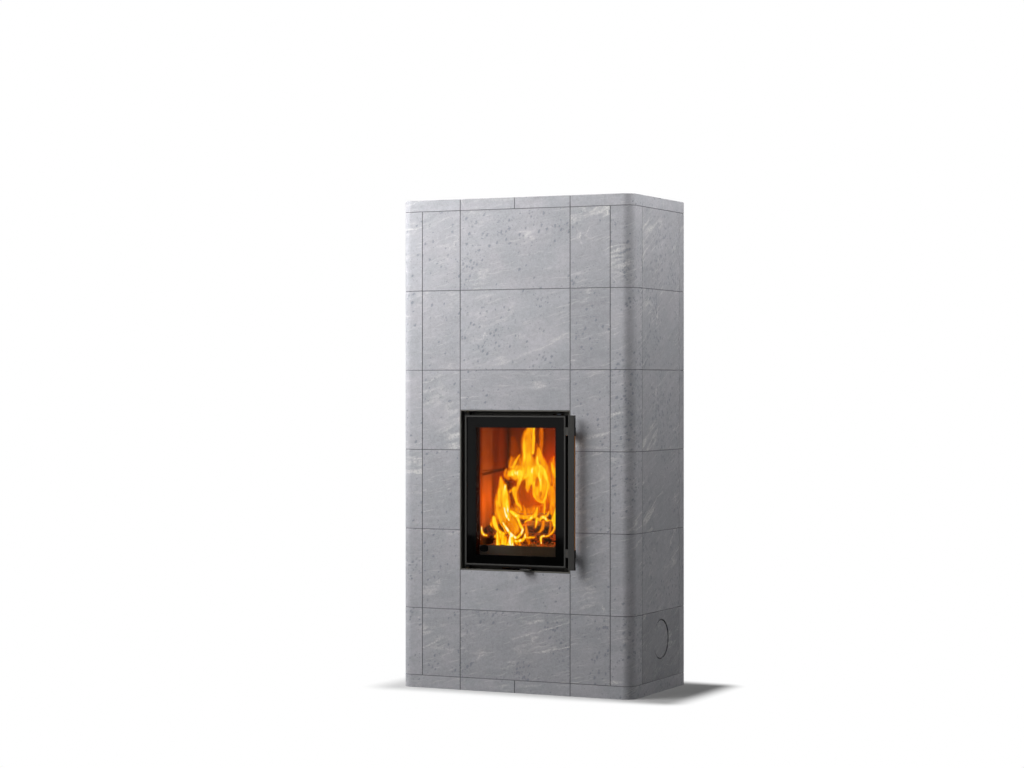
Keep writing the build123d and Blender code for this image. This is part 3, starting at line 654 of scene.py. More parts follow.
@dataclass(frozen=True)
class HeatPaintedSteel:
    """Steel sheet with matt heat resistant paint: a soft black with a fine orange peel and some dust.

    Where the sheet is the way into the fire, its front part is sooty and its rear part is burnt to scale.

    Attributes:
        name: The material's name.
        paint: The paint's colour.
        dust: The colour of dust on it.
        roughness: Its middle roughness.
        gloss: Its specular level.
        peel: The size of its orange peel.
        way_in: Half the width of the way into the fire, or 0 where it has none.
        rim: Half width, foot and head of the line beyond which a rim of painted shade darkens the paint and
            takes its gloss.
    """

    name: str
    paint: str = "#33322f"
    dust: str = "#4a4845"
    roughness: float = 0.55
    gloss: float = 0.25
    peel: float = 1.6
    way_in: float = 0.0
    rim: tuple[float, float, float] | None = None
    soot: str = "#0d0503"
    scale: str = "#55351d"
    # The colour of the painted shade on the rim
    painted_rim_shade_colour: str = "#0b0b0a"
    soot_from: float = -224.5
    scale_from: float = -170.0

    def material(self) -> bpy.types.Material:
        """Build the paint with its peel, a little dust and a small change of gloss.

        Returns:
            The material.
        """
        r = Recipe(self.name)
        split = r.add("SeparateXYZ", [r.place])
        dusty = r.add("TexNoise", {"Vector": r.place, "Scale": per_mm(45), "Detail": 6.0, "Roughness": 0.7})
        colour = r.blend(dusty, (0.45, 0.8), self.paint, self.dust, 0.5)
        shine = self.gloss
        if self.way_in:
            sooty, colour = self.burn(r, split, colour)
            shine = r.add("MapRange", [sooty, 0.0, 1.0, self.gloss, 0.0])
        # Painted shade: a dark band without gloss along the rim
        if self.rim:
            shade = self.painted_rim_shade(r, split)
            colour = r.add("Mix", [shade, colour, linear(self.painted_rim_shade_colour)], data_type="RGBA")
            shine = r.add("MapRange", [shade, 0.0, 1.0, self.gloss, 0.0])
        peel = r.add("TexNoise", {"Vector": r.place, "Scale": per_mm(self.peel), "Detail": 2.0})
        dull = r.add("MapRange", [dusty, 0.3, 0.7, self.roughness - 0.06, self.roughness + 0.08])
        relief = r.add("Bump", {"Strength": 0.12, "Distance": 0.2 * MM, "Height": peel})
        return r.close(r.add("BsdfPrincipled", {"Base Color": colour, "Roughness": dull, "IOR": 1.5,
                                                "Specular IOR Level": shine, "Normal": relief}))

    def burn(self, r: Recipe, split: bpy.types.Node, colour: Signal) -> tuple[bpy.types.Node, bpy.types.Node]:
        """Lay soot and scale on the way into the fire.

        Args:
            r: The material's recipe.
            split: The place, axis by axis.
            colour: The paint's colour.

        Returns:
            A node that is 1 where the paint is burnt, and the colour.
        """
        out = r.add("Math", [split.outputs["X"]], operation="ABSOLUTE")
        inside = r.add("Math", [out, self.way_in * MM], operation="LESS_THAN")
        shares = []
        for edge, burnt in ((self.soot_from, self.soot), (self.scale_from, self.scale)):
            beyond = r.add("MapRange", [split.outputs["Y"], (edge - 1) * MM, (edge + 1) * MM, 0.0, 1.0])
            shares.append(r.add("Math", [inside, beyond], operation="MULTIPLY"))
            colour = r.add("Mix", [shares[-1], colour, linear(burnt)], data_type="RGBA")
        return shares[0], colour

    def painted_rim_shade(self, r: Recipe, split: bpy.types.Node) -> bpy.types.Node:
        """Find the rim, where shade is painted on.

        Args:
            r: The material's recipe.
            split: The place, axis by axis.

        Returns:
            A node that rises to 0.85 over the 2 mm at the rim's inner edge.
        """
        half, foot, head = [size * MM for size in self.rim]
        off = r.add("Math", [split.outputs["Z"], (foot + head) / 2], operation="SUBTRACT")
        over = [r.add("Math", [r.add("Math", [part], operation="ABSOLUTE"), edge], operation="SUBTRACT")
                for part, edge in ((split.outputs["X"], half), (off, (head - foot) / 2))]
        return r.add("MapRange", [r.add("Math", over, operation="MAXIMUM"), -0.5 * MM, 1.5 * MM, 0.0, 0.85])


class Lay(Enum):
    """Which way the marks of a metal's making run: the stretch of its pattern along X, Y and Z."""

    TURNED = (1.0, 1.0, 14.0)
    ROLLED = (0.06, 1.0, 1.0)
    CAST = (1.0, 1.0, 1.0)


@dataclass(frozen=True)
class BareMetal:
    """A metal with no paint: its tint, the marks of its making and the stain that heat or handling left."""

    name: str
    tint: str
    stain: str
    roughness: float
    lay: Lay
    mark: float = 1.2
    stained: float = 0.5
    metallic: float = 1.0

    def material(self) -> bpy.types.Material:
        """Build the metal with fine marks along its lay and cloudy stains.

        Returns:
            The material.
        """
        r = Recipe(self.name)
        clouds = r.add("TexNoise", {"Vector": r.place, "Scale": per_mm(30), "Detail": 5.0, "Roughness": 0.6})
        colour = r.blend(clouds, (0.4, 0.75), self.tint, self.stain, self.stained)
        drawn = r.add("VectorMath", [r.place, self.lay.value], operation="MULTIPLY")
        marks = r.add("TexNoise", {"Vector": drawn, "Scale": per_mm(self.mark), "Detail": 3.0})
        gloss = r.add("MapRange", [marks, 0.3, 0.7, self.roughness - 0.08, self.roughness + 0.08])
        relief = r.add("Bump", {"Strength": 0.15, "Distance": 0.15 * MM, "Height": marks})
        return r.close(r.add("BsdfPrincipled", {"Base Color": colour, "Metallic": self.metallic,
                                                "Roughness": gloss, "Normal": relief}))


@dataclass(frozen=True)
class PrintedCeramicGlass:
    """Ceramic glass, rolled and printed: clear with an amber cast, a black fired border and a small oval."""

    name: str = "ceramic glass with black printed border"
    print_colour: str = "#060606"
    smeared: str = "#090909"
    window_left: float = -163.2
    window_right: float = 164.4
    window_low: float = 510.0
    window_high: float = 987.0
    oval_centre: tuple[float, float] = (-130.5, 534.0)
    oval_half: tuple[float, float] = (17.0, 12.5)
    # The oval is a little fuller than an ellipse, whose power is 2
    oval_power: float = 2.6
    amber: Colour = (0.95, 0.90, 0.78, 1.0)

    def material(self) -> bpy.types.Material:
        """Build clear glass inside the window and black print outside it.

        Returns:
            The material.
        """
        r = Recipe(self.name)
        smear = r.add("TexNoise", {"Vector": r.place, "Scale": per_mm(40), "Detail": 4.0})
        gloss = r.add("MapRange", [smear, 0.3, 0.7, 0.02, 0.06])
        tint = r.blend(smear, (0.45, 0.7), self.print_colour, self.smeared)
        black = r.add("BsdfPrincipled", {"Base Color": tint, "Roughness": gloss, "Specular IOR Level": 0.12})
        # Lower than real glass has, so that the pane mirrors as little of the studio as in the photograph
        clear = r.add("MixShader", [r.add("Fresnel", {"IOR": 1.15}),
                                    r.add("BsdfTransparent", {"Color": self.amber}),
                                    r.add("BsdfGlossy", {"Color": (1, 1, 1, 1), "Roughness": gloss})])
        return r.close(r.add("MixShader", [self.printed(r), clear, black]))

    def printed(self, r: Recipe) -> bpy.types.Node:
        """Find the print.

        Args:
            r: The material's recipe.

        Returns:
            A node that is 1 on the border and on the oval.
        """
        split = r.add("SeparateXYZ", [r.place])
        outside = []
        for axis, low, high in (("X", self.window_left, self.window_right),
                                ("Z", self.window_low, self.window_high)):
            middle = r.add("Math", [split.outputs[axis], (low + high) / 2 * MM], operation="SUBTRACT")
            far = r.add("Math", [middle], operation="ABSOLUTE")
            outside.append(r.add("Math", [far, (high - low) / 2 * MM], operation="GREATER_THAN"))
        parts = []
        for axis, centre, half in zip("XZ", self.oval_centre, self.oval_half):
            far = r.add("Math", [split.outputs[axis], centre * MM], operation="SUBTRACT")
            share = r.add("Math", [r.add("Math", [far, half * MM], operation="DIVIDE")], operation="ABSOLUTE")
            parts.append(r.add("Math", [share, self.oval_power], operation="POWER"))
        oval = r.add("Math", [r.add("Math", parts, operation="ADD"), 1.0], operation="LESS_THAN")
        return r.add("Math", [r.add("Math", outside, operation="MAXIMUM"), oval], operation="MAXIMUM")


@dataclass(frozen=True)
class GlassFibre:
    """Glass fibre yarn, braided or woven: matt and slightly fuzzy, its threads catching light one by one."""

    name: str
    yarn: str
    gap: str
    thread: float

    def material(self) -> bpy.types.Material:
        """Build the yarn with crossing threads and a soft sheen.

        Returns:
            The material.
        """
        r = Recipe(self.name)
        turned = r.add("VectorRotate", {"Vector": r.place, "Axis": (0, 1, 0), "Angle": math.radians(90)})
        ways = [r.add("TexWave", {"Vector": way, "Scale": per_mm(self.thread) / 2, "Distortion": 1.5},
                      bands_direction="DIAGONAL") for way in (r.place, turned)]
        cloth = r.add("Math", ways, operation="MULTIPLY")
        fuzz = r.add("TexNoise", {"Vector": r.place, "Scale": per_mm(1.0), "Detail": 3.0})
        depth = r.add("Math", [fuzz, 0.4, cloth], operation="MULTIPLY_ADD")
        colour = r.add("Mix", [depth, linear(self.gap), linear(self.yarn)], data_type="RGBA")
        relief = r.add("Bump", {"Strength": 0.5, "Distance": 0.3 * MM, "Height": depth})
        return r.close(r.add("BsdfPrincipled", {"Base Color": colour, "Roughness": 0.9, "Sheen Weight": 0.3,
                                                "Sheen Roughness": 0.4, "Normal": relief}))


@dataclass(frozen=True)
class OiledHardwood:
    """Beech, planed and oiled: a warm red brown with straight darker grain and a low sheen."""

    name: str = "beech, planed and oiled"
    early: str = "#d08a45"
    late: str = "#a3642d"
    grain: float = 2.2
    pore: float = 0.7

    def material(self) -> bpy.types.Material:
        """Build the wood with its grain along Z.

        Returns:
            The material.
        """
        r = Recipe(self.name)
        drawn = r.add("VectorMath", [r.place, (1, 1, 0.05)], operation="MULTIPLY")
        rings = r.add("TexNoise", {"Vector": drawn, "Scale": per_mm(self.grain), "Detail": 4.0,
                                   "Roughness": 0.6})
        pores = r.add("TexNoise", {"Vector": drawn, "Scale": per_mm(self.pore), "Detail": 2.0})
        colour = r.blend(rings, (0.35, 0.65), self.early, self.late)
        gloss = r.add("MapRange", [pores, 0.3, 0.7, 0.38, 0.55])
        relief = r.add("Bump", {"Strength": 0.2, "Distance": 0.15 * MM, "Height": pores})
        return r.close(r.add("BsdfPrincipled", {"Base Color": colour, "Roughness": gloss, "IOR": 1.46,
                                                "Coat Weight": 0.15, "Coat Roughness": 0.35,
                                                "Normal": relief}))


@dataclass(frozen=True)
class MineralFibreBoard:
    """Pressed mineral fibre: a pale board with short tangled fibres."""

    name: str = "mineral fibre board, pressed"
    fibre: str = "#d6cdb8"
    hollow: str = "#a89c84"

    def material(self) -> bpy.types.Material:
        """Build the board with fibres 1 to 8 mm long.

        Returns:
            The material.
        """
        r = Recipe(self.name)
        drawn = r.add("VectorMath", [r.place, (1, 1, 4)], operation="MULTIPLY")
        fibres = r.add("TexNoise", {"Vector": drawn, "Scale": per_mm(6), "Detail": 5.0, "Roughness": 0.75})
        colour = r.add("Mix", [fibres, linear(self.hollow), linear(self.fibre)], data_type="RGBA")
        relief = r.add("Bump", {"Strength": 0.5, "Distance": 0.5 * MM, "Height": fibres})
        return r.close(r.add("BsdfPrincipled", {"Base Color": colour, "Roughness": 0.95, "Normal": relief}))


@dataclass(frozen=True)
class CharredWood:
    """Split birch, half burnt: brown where bark or split face is left, black and cracked where it charred."""

    name: str = "split birch, charred"
    wood: str = "#54391d"
    bark: str = "#251910"
    char: str = "#14100d"
    gap: str = "#060504"
    ember: str = "#ff5a12"
    crack: float = 14.0
    glow: float = 0.8
    # Embers show fully below the first of these heights and hardly above the second
    ember_height: tuple[float, float] = (545.0, 625.0)

    def material(self) -> bpy.types.Material:
        """Build the log with char blocks, brown remains and embers in the deepest cracks.

        Returns:
            The material.
        """
        r = Recipe(self.name)
        drawn = r.add("VectorMath", [r.place, (0.15, 1, 1)], operation="MULTIPLY")
        fibres = r.add("TexNoise", {"Vector": drawn, "Scale": per_mm(5), "Detail": 5.0, "Roughness": 0.7})
        left = r.add("TexNoise", {"Vector": r.place, "Scale": per_mm(45), "Detail": 5.0, "Roughness": 0.65})
        brown = r.add("Mix", [fibres, linear(self.bark), linear(self.wood)], data_type="RGBA")
        colour = r.add("Mix", [r.add("MapRange", [left, 0.5, 0.63, 1.0, 0.0]), brown, linear(self.char)],
                       data_type="RGBA")
        cells = r.add("TexVoronoi", {"Vector": r.place, "Scale": per_mm(self.crack)},
                      feature="DISTANCE_TO_EDGE").outputs["Distance"]
        crack = r.add("MapRange", [cells, 0.0, 0.08, 0.7, 0.0])
        colour = r.add("Mix", [crack, colour, linear(self.gap)], data_type="RGBA")
        height = r.add("SeparateXYZ", [r.place]).outputs["Z"]
        deep = r.add("MapRange", [height, *[level * MM for level in self.ember_height], 1.0, 0.05])
        heat = r.add("TexNoise", {"Vector": r.place, "Scale": per_mm(22), "Detail": 3.0})
        power = r.add("MapRange", [heat, 0.48, 0.66, 0.0, self.glow])
        for share in (deep, r.add("MapRange", [cells, 0.0, 0.2, 1.0, 0.1])):
            power = r.add("Math", [power, share], operation="MULTIPLY")
        relief = r.add("Bump", {"Strength": 0.7, "Distance": 2.0 * MM,
                                "Height": r.add("Math", [fibres, crack], operation="SUBTRACT")})
        return r.close(r.add("BsdfPrincipled", {"Base Color": colour, "Roughness": 0.85,
                                                "Emission Color": linear(self.ember),
                                                "Emission Strength": power, "Normal": relief}))


@dataclass(frozen=True)
class AshAndEmber:
    """Wood ash over live charcoal: pale flakes, black coals and an orange glow from between them."""

    name: str = "ash over live charcoal"
    ash: str = "#6c5c48"
    coal: str = "#17120f"
    ember: str = "#ff5c10"
    coal_size: float = 13.0
    glow: float = 0.65

    def material(self) -> bpy.types.Material:
        """Build coals of 10 to 20 mm with ash on top and embers between.

        Returns:
            The material.
        """
        r = Recipe(self.name)
        flakes = r.add("TexNoise", {"Vector": r.place, "Scale": per_mm(12), "Detail": 6.0, "Roughness": 0.7})
        colour = r.blend(flakes, (0.45, 0.62), self.coal, self.ash)
        coals = r.add("TexVoronoi", {"Vector": r.place, "Scale": per_mm(self.coal_size)},
                      feature="DISTANCE_TO_EDGE")
        seam = r.add("MapRange", [coals.outputs["Distance"], 0.0, 0.16, self.glow, 0.0])
        heat = r.add("TexNoise", {"Vector": r.place, "Scale": per_mm(30), "Detail": 3.0})
        power = r.add("Math", [r.add("MapRange", [heat, 0.42, 0.62, 0.1, 1.0]), seam], operation="MULTIPLY")
        relief = r.add("Bump", {"Strength": 0.6, "Distance": 2.0 * MM, "Height": flakes})
        return r.close(r.add("BsdfPrincipled", {"Base Color": colour, "Roughness": 0.95,
                                                "Emission Color": linear(self.ember),
                                                "Emission Strength": power, "Normal": relief}))


@dataclass(frozen=True)
class WoodFlame:
    """Flame of a wood fire: glowing soot, orange and clear where thin, yellow to white where hot."""

    name: str = "wood flame"
    colours: tuple[tuple[float, str], ...] = (
        (0.0, "#d45600"), (0.22, "#e06600"), (0.42, "#f08a04"), (0.6, "#fdb208"), (0.76, "#ffd81c"),
        (0.92, "#fff446"), (1.0, "#fffde8"),
    )
    streak: float = 11.0
    strength: float = 1.16

    def material(self) -> bpy.types.Material:
        """Build the flame from the heat of its curtain, stirred by tall thin streaks.

        Returns:
            The material.
        """
        r = Recipe(self.name)
        heat = r.add("Attribute", attribute_name=HEAT_LAYER).outputs["Fac"]
        drawn = r.add("VectorMath", [r.place, (1, 1, 0.22)], operation="MULTIPLY")
        streaks = r.add("TexNoise", {"Vector": drawn, "Scale": per_mm(self.streak), "Detail": 4.0,
                                     "Distortion": 0.6})
        stir = r.add("MapRange", [streaks, 0.3, 0.7, 0.64, 1.17])
        glow = r.add("Math", [heat, stir], operation="MULTIPLY")
        colour = r.add("ValToRGB", [glow], ramp=[(place, linear(code)) for place, code in self.colours])
        cover = r.add("MapRange", [glow, 0.0, 0.5, 0.0, 0.96], interpolation_type="SMOOTHSTEP")
        light = r.add("Emission", {"Color": colour, "Strength": self.strength})
        return r.close(r.add("MixShader", [cover, r.add("BsdfTransparent"), light]))


@dataclass
class StoneTower:
    """The facing: plinth and top slabs, corner blocks, front, side and back panels, and cleanout plugs."""

    unseen: float = 0.96  # The tone of the back and of the left side's cleanout stones
    top: float = 1.08

    def dress(self) -> None:
        """Give each facing node its own piece of the quarry."""
        rising, gentle, steep = Bedding.RISING, Bedding.GENTLE, Bedding.STEEP
        # For each node the stone's seed, bedding, tone, veins, grains, and whether it crosses the middle
        finishes = {
            "plinth_end_slabs": (1.3, gentle, 1.08, 1.2, 1.2, False),
            "plinth_middle_left_slab": (2.7, gentle, 1.06, 1.2, 0.9, False),
            "plinth_middle_right_slab": (3.1, gentle, 1.07, 1.1, 0.9, False),
            "top_end_slabs": (4.9, gentle, self.top, 0.8, 0.7, False),
            "top_middle_left_slab": (5.3, gentle, self.top, 0.9, 0.5, False),
            "top_middle_right_slab": (6.2, gentle, self.top, 1.0, 0.5, False),
            "corner_blocks_left": (7.7, gentle, 1.09, 1.1, 1.2, False),
            "corner_blocks_right": (8.4, gentle, 1.03, 1.1, 1.9, False),
            "front_panels_left": (9.6, rising, 1.01, 1.0, 0.9, False),
            "front_panels_right": (10.2, rising, 1.0, 1.15, 1.2, False),
            "front_base_stone": (11.8, rising, 0.96, 1.3, 1.9, True),
            "door_sill_stone": (12.5, gentle, 1.06, 0.9, 0.5, True),
            "door_lintel_stone": (13.9, gentle, 1.03, 0.9, 0.8, True),
            "front_upper_stones": (14.1, rising, 1.07, 0.9, 1.3, True),
            "side_panels_left": (15.4, steep, 0.97, 0.9, 1.6, False),
            "side_panels_right": (16.7, steep, 0.97, 1.1, 2.2, False),
            "cleanout_panel_left": (17.3, steep, self.unseen, 0.9, 1.5, False),
            # The right side's cleanout stones are darker by painted shade, for light that falls off low on
            # that side
            "cleanout_panel_right": (18.8, steep, 0.77, 1.0, 1.8, False),
            "cleanout_plug_left": (19.2, steep, self.unseen, 0.6, 0.9, False),
            "cleanout_plug_right": (20.6, steep, 0.80, 0.6, 1.4, False),
            "back_panels_left": (21.4, rising, self.unseen, 1.0, 1.0, False),
            "back_panels_right": (22.9, rising, self.unseen, 1.0, 1.0, False),
            "flue_panel": (23.5, rising, self.unseen, 0.9, 1.0, True),
        }
        for node, kind in finishes.items():
            edge = self.round_edge(node) if "plug" in node else None
            dress([node], HonedSoapstone(f"honed soapstone, {node}", *kind, edge).material())

    @staticmethod
    def round_edge(node: str) -> tuple[float, float, float]:
        """Return the middle, as y and z, and the radius of a round stone in the tower's side, in metres."""
        low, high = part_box(node)
        return (low[1] + high[1]) / 2, (low[2] + high[2]) / 2, (high[2] - low[2]) / 2


@dataclass
class FireCore:
    """The stones inside: base, ash pit, hearth, firebox, throat, upper chamber and ceiling."""

    stones: tuple[str, ...] = (
        "base_blocks", "hearth_support_slab", "air_riser_cheeks", "ash_pit_blocks", "hearth_slabs",
        "firebox_wall_left", "firebox_wall_right", "firebox_back_wall", "firebox_lintel", "throat_stones",
        "upper_chamber_walls", "ceiling_posts", "ceiling_slabs",
    )

    def dress(self) -> None:
        """Dress the stones and the insulating board behind them."""
        dress(self.stones, SawnCoreStone().material())
        dress(["rear_insulation_board"], MineralFibreBoard().material())


@dataclass
class RingPath:
    """A closed upright path round the door: its half width, foot, head, corner radius and pitch."""

    half_width: float
    low: float
    high: float
    corner: float
    step: float

    def points(self) -> list[tuple[float, float, float, float]]:
        """Return points along the path.

        Returns:
            For each point its x and z, and the x and z of the direction out of the ring, in mm.
        """
        found = []
        right, low, high = self.half_width - self.corner, self.low + self.corner, self.high - self.corner
        places = [(right, high, 0), (-right, high, 90), (-right, low, 180), (right, low, 270)]
        bends = max(3, round(self.corner * math.pi / 2 / self.step))
        for number, (x, z, turn) in enumerate(places):
            for i in range(bends + 1):
                angle = math.radians(turn + 90 * i / bends)
                out = math.cos(angle), math.sin(angle)
                found.append((x + self.corner * out[0], z + self.corner * out[1], *out))
            nx, nz, _ = places[(number + 1) % 4]
            start, out = found[-1][:2], found[-1][2:]
            end = nx + self.corner * out[0], nz + self.corner * out[1]
            runs = max(1, round(math.dist(start, end) / self.step))
            for i in range(1, runs):
                found.append((*(s + (e - s) * i / runs for s, e in zip(start, end)), *out))
        return found

    def sweep(self, name: str, section: Callable[[float, float], tuple[float, float]],
              sides: int) -> bpy.types.Object:
        """Sweep a section round the path.

        Args:
            name: The piece's name.
            section: Gives the place out of the ring and along Y, in mm, from the turn round the section and
                the length along the path.
            sides: Points round the section.

        Returns:
            The piece.
        """
        path = self.points()
        verts, run, before = [], 0.0, path[-1]
        for x, z, out_x, out_z in path:
            run += math.dist((x, z), before[:2])
            before = (x, z)
            for j in range(sides):
                out, y = section(2 * math.pi * j / sides, run)
                verts.append(((x + out * out_x) * MM, y * MM, (z + out * out_z) * MM))
        return build_mesh(name, verts, grid_faces(len(path), sides, True, True))


def squareness(turn: float, power: float) -> float:
    """Return how far a rounded square reaches at a turn round it. It is a circle where the power is 2."""
    return (abs(math.cos(turn)) ** power + abs(math.sin(turn)) ** power) ** (-1 / power)


@dataclass
class GlazedDoor:
    """The door leaf in its surround: frames, glass, tapes, rope, screws, hinges and catch.

    A tape is given as the half width of its ring, half its own width, and the y of its front and rear faces.
    """

    rope_middle: float = 195.35
    rope_low: float = 483.15
    rope_high: float = 1020.85
    rope_front: float = -241.0
    rope_half: tuple[float, float] = (5.9, 7.9)
    rope_corner: float = 7.0
    braid_pitch: float = 11.0
    braid_relief: float = 0.45
    front_tape: tuple[float, float, float, float] = (202.75, 1.65, -251.0, -249.55)
    rear_tape: tuple[float, float, float, float] = (199.5, 4.9, -245.45, -244.05)
    weft_pitch: float = 6.0
    leaf_half: float = 209.0
    leaf_low: float = 469.5
    leaf_high: float = 1034.5
    # How far in from the leaf's edge the rim of painted shade reaches
    rim: float = 3.3
    way_in: float = 190.0

    def dress(self) -> None:
        """Dress the steel, the glass and the small parts."""
        # The door steel gets painted shade along the leaf's rim
        rim = self.leaf_half - self.rim, self.leaf_low + self.rim, self.leaf_high - self.rim
        frame_paint = HeatPaintedSteel("door steel, painted matt black", "#2c2b29", "#373633", 0.5, 0.3,
                                       rim=rim)
        # The surround's paint is lighter than the door's: painted light in the recess, which lies in shade
        lightened_recess_paint = HeatPaintedSteel("surround steel, painted matt black", "#676560", "#5b5955", 0.6,
                                        way_in=self.way_in)
        dress(["door_outer_frame", "door_inner_frame"], frame_paint.material())
        dress(["door_surround"], lightened_recess_paint.material())
        dress(["door_glass"], PrintedCeramicGlass().material())
        zinc = BareMetal("steel, zinc plated", "#a9abad", "#7d7f80", 0.32, Lay.TURNED, 0.8)
        dress(["catch_spring"], zinc.material())
        black = BareMetal("steel, blackened in oil", "#2b2b2b", "#191918", 0.5, Lay.TURNED, 0.8)
        dress(["door_frame_screws", "hinge_pins", "catch_plunger"], black.material())
        # The collars are darkened brass, and darker still by painted shade in the hinge's corner
        brass = BareMetal("brass, turned and darkened by heat", "#2b2418", "#18140e", 0.5, Lay.TURNED, 0.9)
        dress(["hinge_collars"], brass.material())
        blued = BareMetal("steel, rolled and heat blued", "#55585e", "#34302f", 0.42, Lay.ROLLED)
        dress(["catch_block"], blued.material())

    def build(self) -> None:
        """Build the braided rope and the two woven tapes in the place of their plain solids."""
        yarn = GlassFibre("glass fibre rope, braided", "#4b4946", "#1b1a18", 1.6)
        finish_piece(self.rope(), yarn.material(), "door", ["door_seal_rope"])
        tapes = self.tape("glass_tape_front", *self.front_tape), self.tape("glass_tape_rear", *self.rear_tape)
        cloth = GlassFibre("glass fibre tape, woven", "#2a2927", "#0d0d0c", 1.2).material()
        for tape, nodes in zip(tapes, (["glass_tapes"], [])):
            finish_piece(tape, cloth, "door", nodes)

    def rope(self) -> bpy.types.Object:
        """Return the braided rope, pressed into its channel.

        Returns:
            The piece.
        """
        half_x, half_y = self.rope_half
        depth = self.rope_front + half_y + 0.1

        def braid(turn: float, run: float) -> tuple[float, float]:
            """Find a point of the section, raised where one of the braid's six strands passes over.

            Args:
                turn: The turn round the section.
                run: The length along the rope.

            Returns:
                The place out of the ring and along Y.
            """
            phase = 2 * math.pi * run / self.braid_pitch
            over = math.cos(3 * turn + phase) * math.cos(3 * turn - phase)
            grow = squareness(turn, 3) * (1 - self.braid_relief / half_x * (0.5 - 0.5 * over))
            return math.cos(turn) * half_x * grow, depth + math.sin(turn) * half_y * grow

        path = RingPath(self.rope_middle, self.rope_low, self.rope_high, self.rope_corner, 2.0)
        return path.sweep("door_rope_braided", braid, 24)

    def tape(self, name: str, middle: float, half: float, front: float, rear: float) -> bpy.types.Object:
        """Return one woven tape round the glass.

        Args:
            name: The piece's name.
            middle: Half width of the ring at the tape's middle.
            half: Half of the tape's width.
            front: The y of its front face.
            rear: The y of its rear face.

        Returns:
            The piece.
        """
        inset = self.leaf_half - middle
        thick = (rear - front) / 2

        def weave(turn: float, run: float) -> tuple[float, float]:
            """Find a point of the flat section, with the small waves of the weft.

            Args:
                turn: The turn round the section.
                run: The length along the tape.

            Returns:
                The place out of the ring and along Y.
            """
            shape = squareness(turn, 6)
            wave = 1 - 0.04 * (1 + math.sin(2 * math.pi * run / self.weft_pitch))
            return math.cos(turn) * half * shape, front + thick + math.sin(turn) * thick * shape * wave

        path = RingPath(middle, self.leaf_low + inset, self.leaf_high - inset, half + 0.3, 3.0)
        return path.sweep(name, weave, 12)


@dataclass
class BarHandle:
    """The bar handle on the door's right: steel face and ends, wood strip, arms and screws."""

    def dress(self) -> None:
        """Dress the steel, the wood and the screws."""
        steel = HeatPaintedSteel("handle steel, painted matt black", "#282725", "#33322f", 0.5, 0.25)
        dress(["handle_front_plate", "handle_end_blocks", "handle_arms"], steel.material())
        dress(["handle_wood_strip"], OiledHardwood().material())
        screws = BareMetal("steel, blackened", "#4a4a4b", "#2b2b2b", 0.38, Lay.TURNED, 0.8)
        dress(["handle_screws"], screws.material())


@dataclass
class AirAndAsh:
    """The air lever and shutter, the grate, the ash pan and the log guard."""

    def dress(self) -> None:
        """Dress the parts that the user moves to feed air and take out ash."""
        black = HeatPaintedSteel("lever steel, painted matt black", "#1d1c1b", "#262522", 0.5, 0.25)
        dress(["air_lever"], black.material())
        rolled = BareMetal("steel, rolled sheet, heat blued", "#5a5c61", "#3b3531", 0.4, Lay.ROLLED)
        dress(["air_shutter", "ash_pan"], rolled.material())
        # The guard's paint is lighter than the other black steel, as painted light where the door frame
        # shades it
        guard = HeatPaintedSteel("log guard steel, painted and scorched", "#34343a", "#413f44", 0.6, 0.2)
        dress(["log_guard"], guard.material())
        iron = BareMetal("cast iron, burnt", "#3a3532", "#221d1a", 0.7, Lay.CAST, 2.0, 0.8, 0.6)
        dress(["grate"], iron.material())


@dataclass
class FlueOutlet:
    """The steel collar at the back that takes the flue pipe."""

    def dress(self) -> None:
        """Dress the collar in matt black paint."""
        paint = HeatPaintedSteel("flue steel, painted matt black", "#2b2a28", "#3a3936", 0.6)
        dress(["flue_collar"], paint.material())


@dataclass(frozen=True)
class FireLog:
    """One split log.

    Attributes:
        start: The middle of one end.
        end: The middle of the other end.
        radius: Its radius.
        cut: How far out its split face lies, as a share of the radius.
        turn: Where round it the split face lies.
        seed: Its place in the noises.
        rings: Points along it.
        sides: Points round it.
        bow: How far it bows, as a share of the radius.
        knots: How far its knots stand out.
        blocks: How deep the char is cracked between its blocks.
        fibres: How far its fibres stand out.
        hollow: How deep its ends are hollow.
    """

    start: Point
    end: Point
    radius: float
    cut: float
    turn: float
    seed: int
    rings: int = 46
    sides: int = 30
    bow: float = 0.05
    knots: float = 0.10
    blocks: float = 0.13
    fibres: float = 0.05
    hollow: float = 2.0

    def grid(self) -> tuple[list[Point], list[Face]]:
        """Work out the log's mesh, with its ends closed.

        Returns:
            Its points in metres and its faces.
        """
        a, b = Vector(self.start), Vector(self.end)
        axis = (b - a).normalized()
        side = axis.cross(Vector((0, 0, 1))).normalized()
        up = side.cross(axis)
        points = []
        for i in range(self.rings):
            share = i / (self.rings - 1)
            rounding = min(1.0, 0.86 + 3.5 * min(share, 1 - share))
            centre = a.lerp(b, share) + up * (math.sin(share * 5 + self.seed) * self.radius * self.bow)
            for j in range(self.sides):
                angle = 2 * math.pi * j / self.sides
                flat = math.cos(angle - self.turn)
                reach = self.radius if flat < self.cut else self.radius * self.cut / flat
                spot = centre * 0.03 + Vector((math.cos(angle), math.sin(angle), self.seed * 3.7))
                knots = noise.noise(spot * 1.3) * self.knots
                blocks = abs(noise.noise(Vector((share * 16, angle * 2.4, self.seed)))) * self.blocks
                fibres = noise.noise(Vector((share * 4, angle * 9, self.seed + 9))) * self.fibres
                size = reach * rounding * (0.97 + knots - blocks + fibres)
                point = centre + (side * math.cos(angle) + up * math.sin(angle)) * size
                points.append(tuple(point * MM))
        faces = grid_faces(self.rings, self.sides, wrap_columns=True)
        for ring, centre, way in ((0, a, -1), (self.rings - 1, b, 1)):
            middle = len(points)
            points.append(tuple((centre - axis * way * self.hollow) * MM))
            rim = [ring * self.sides + j for j in range(self.sides)]
            faces += [(middle, *pair[::-way]) for pair in zip(rim, rim[1:] + rim[:1])]
        return points, faces


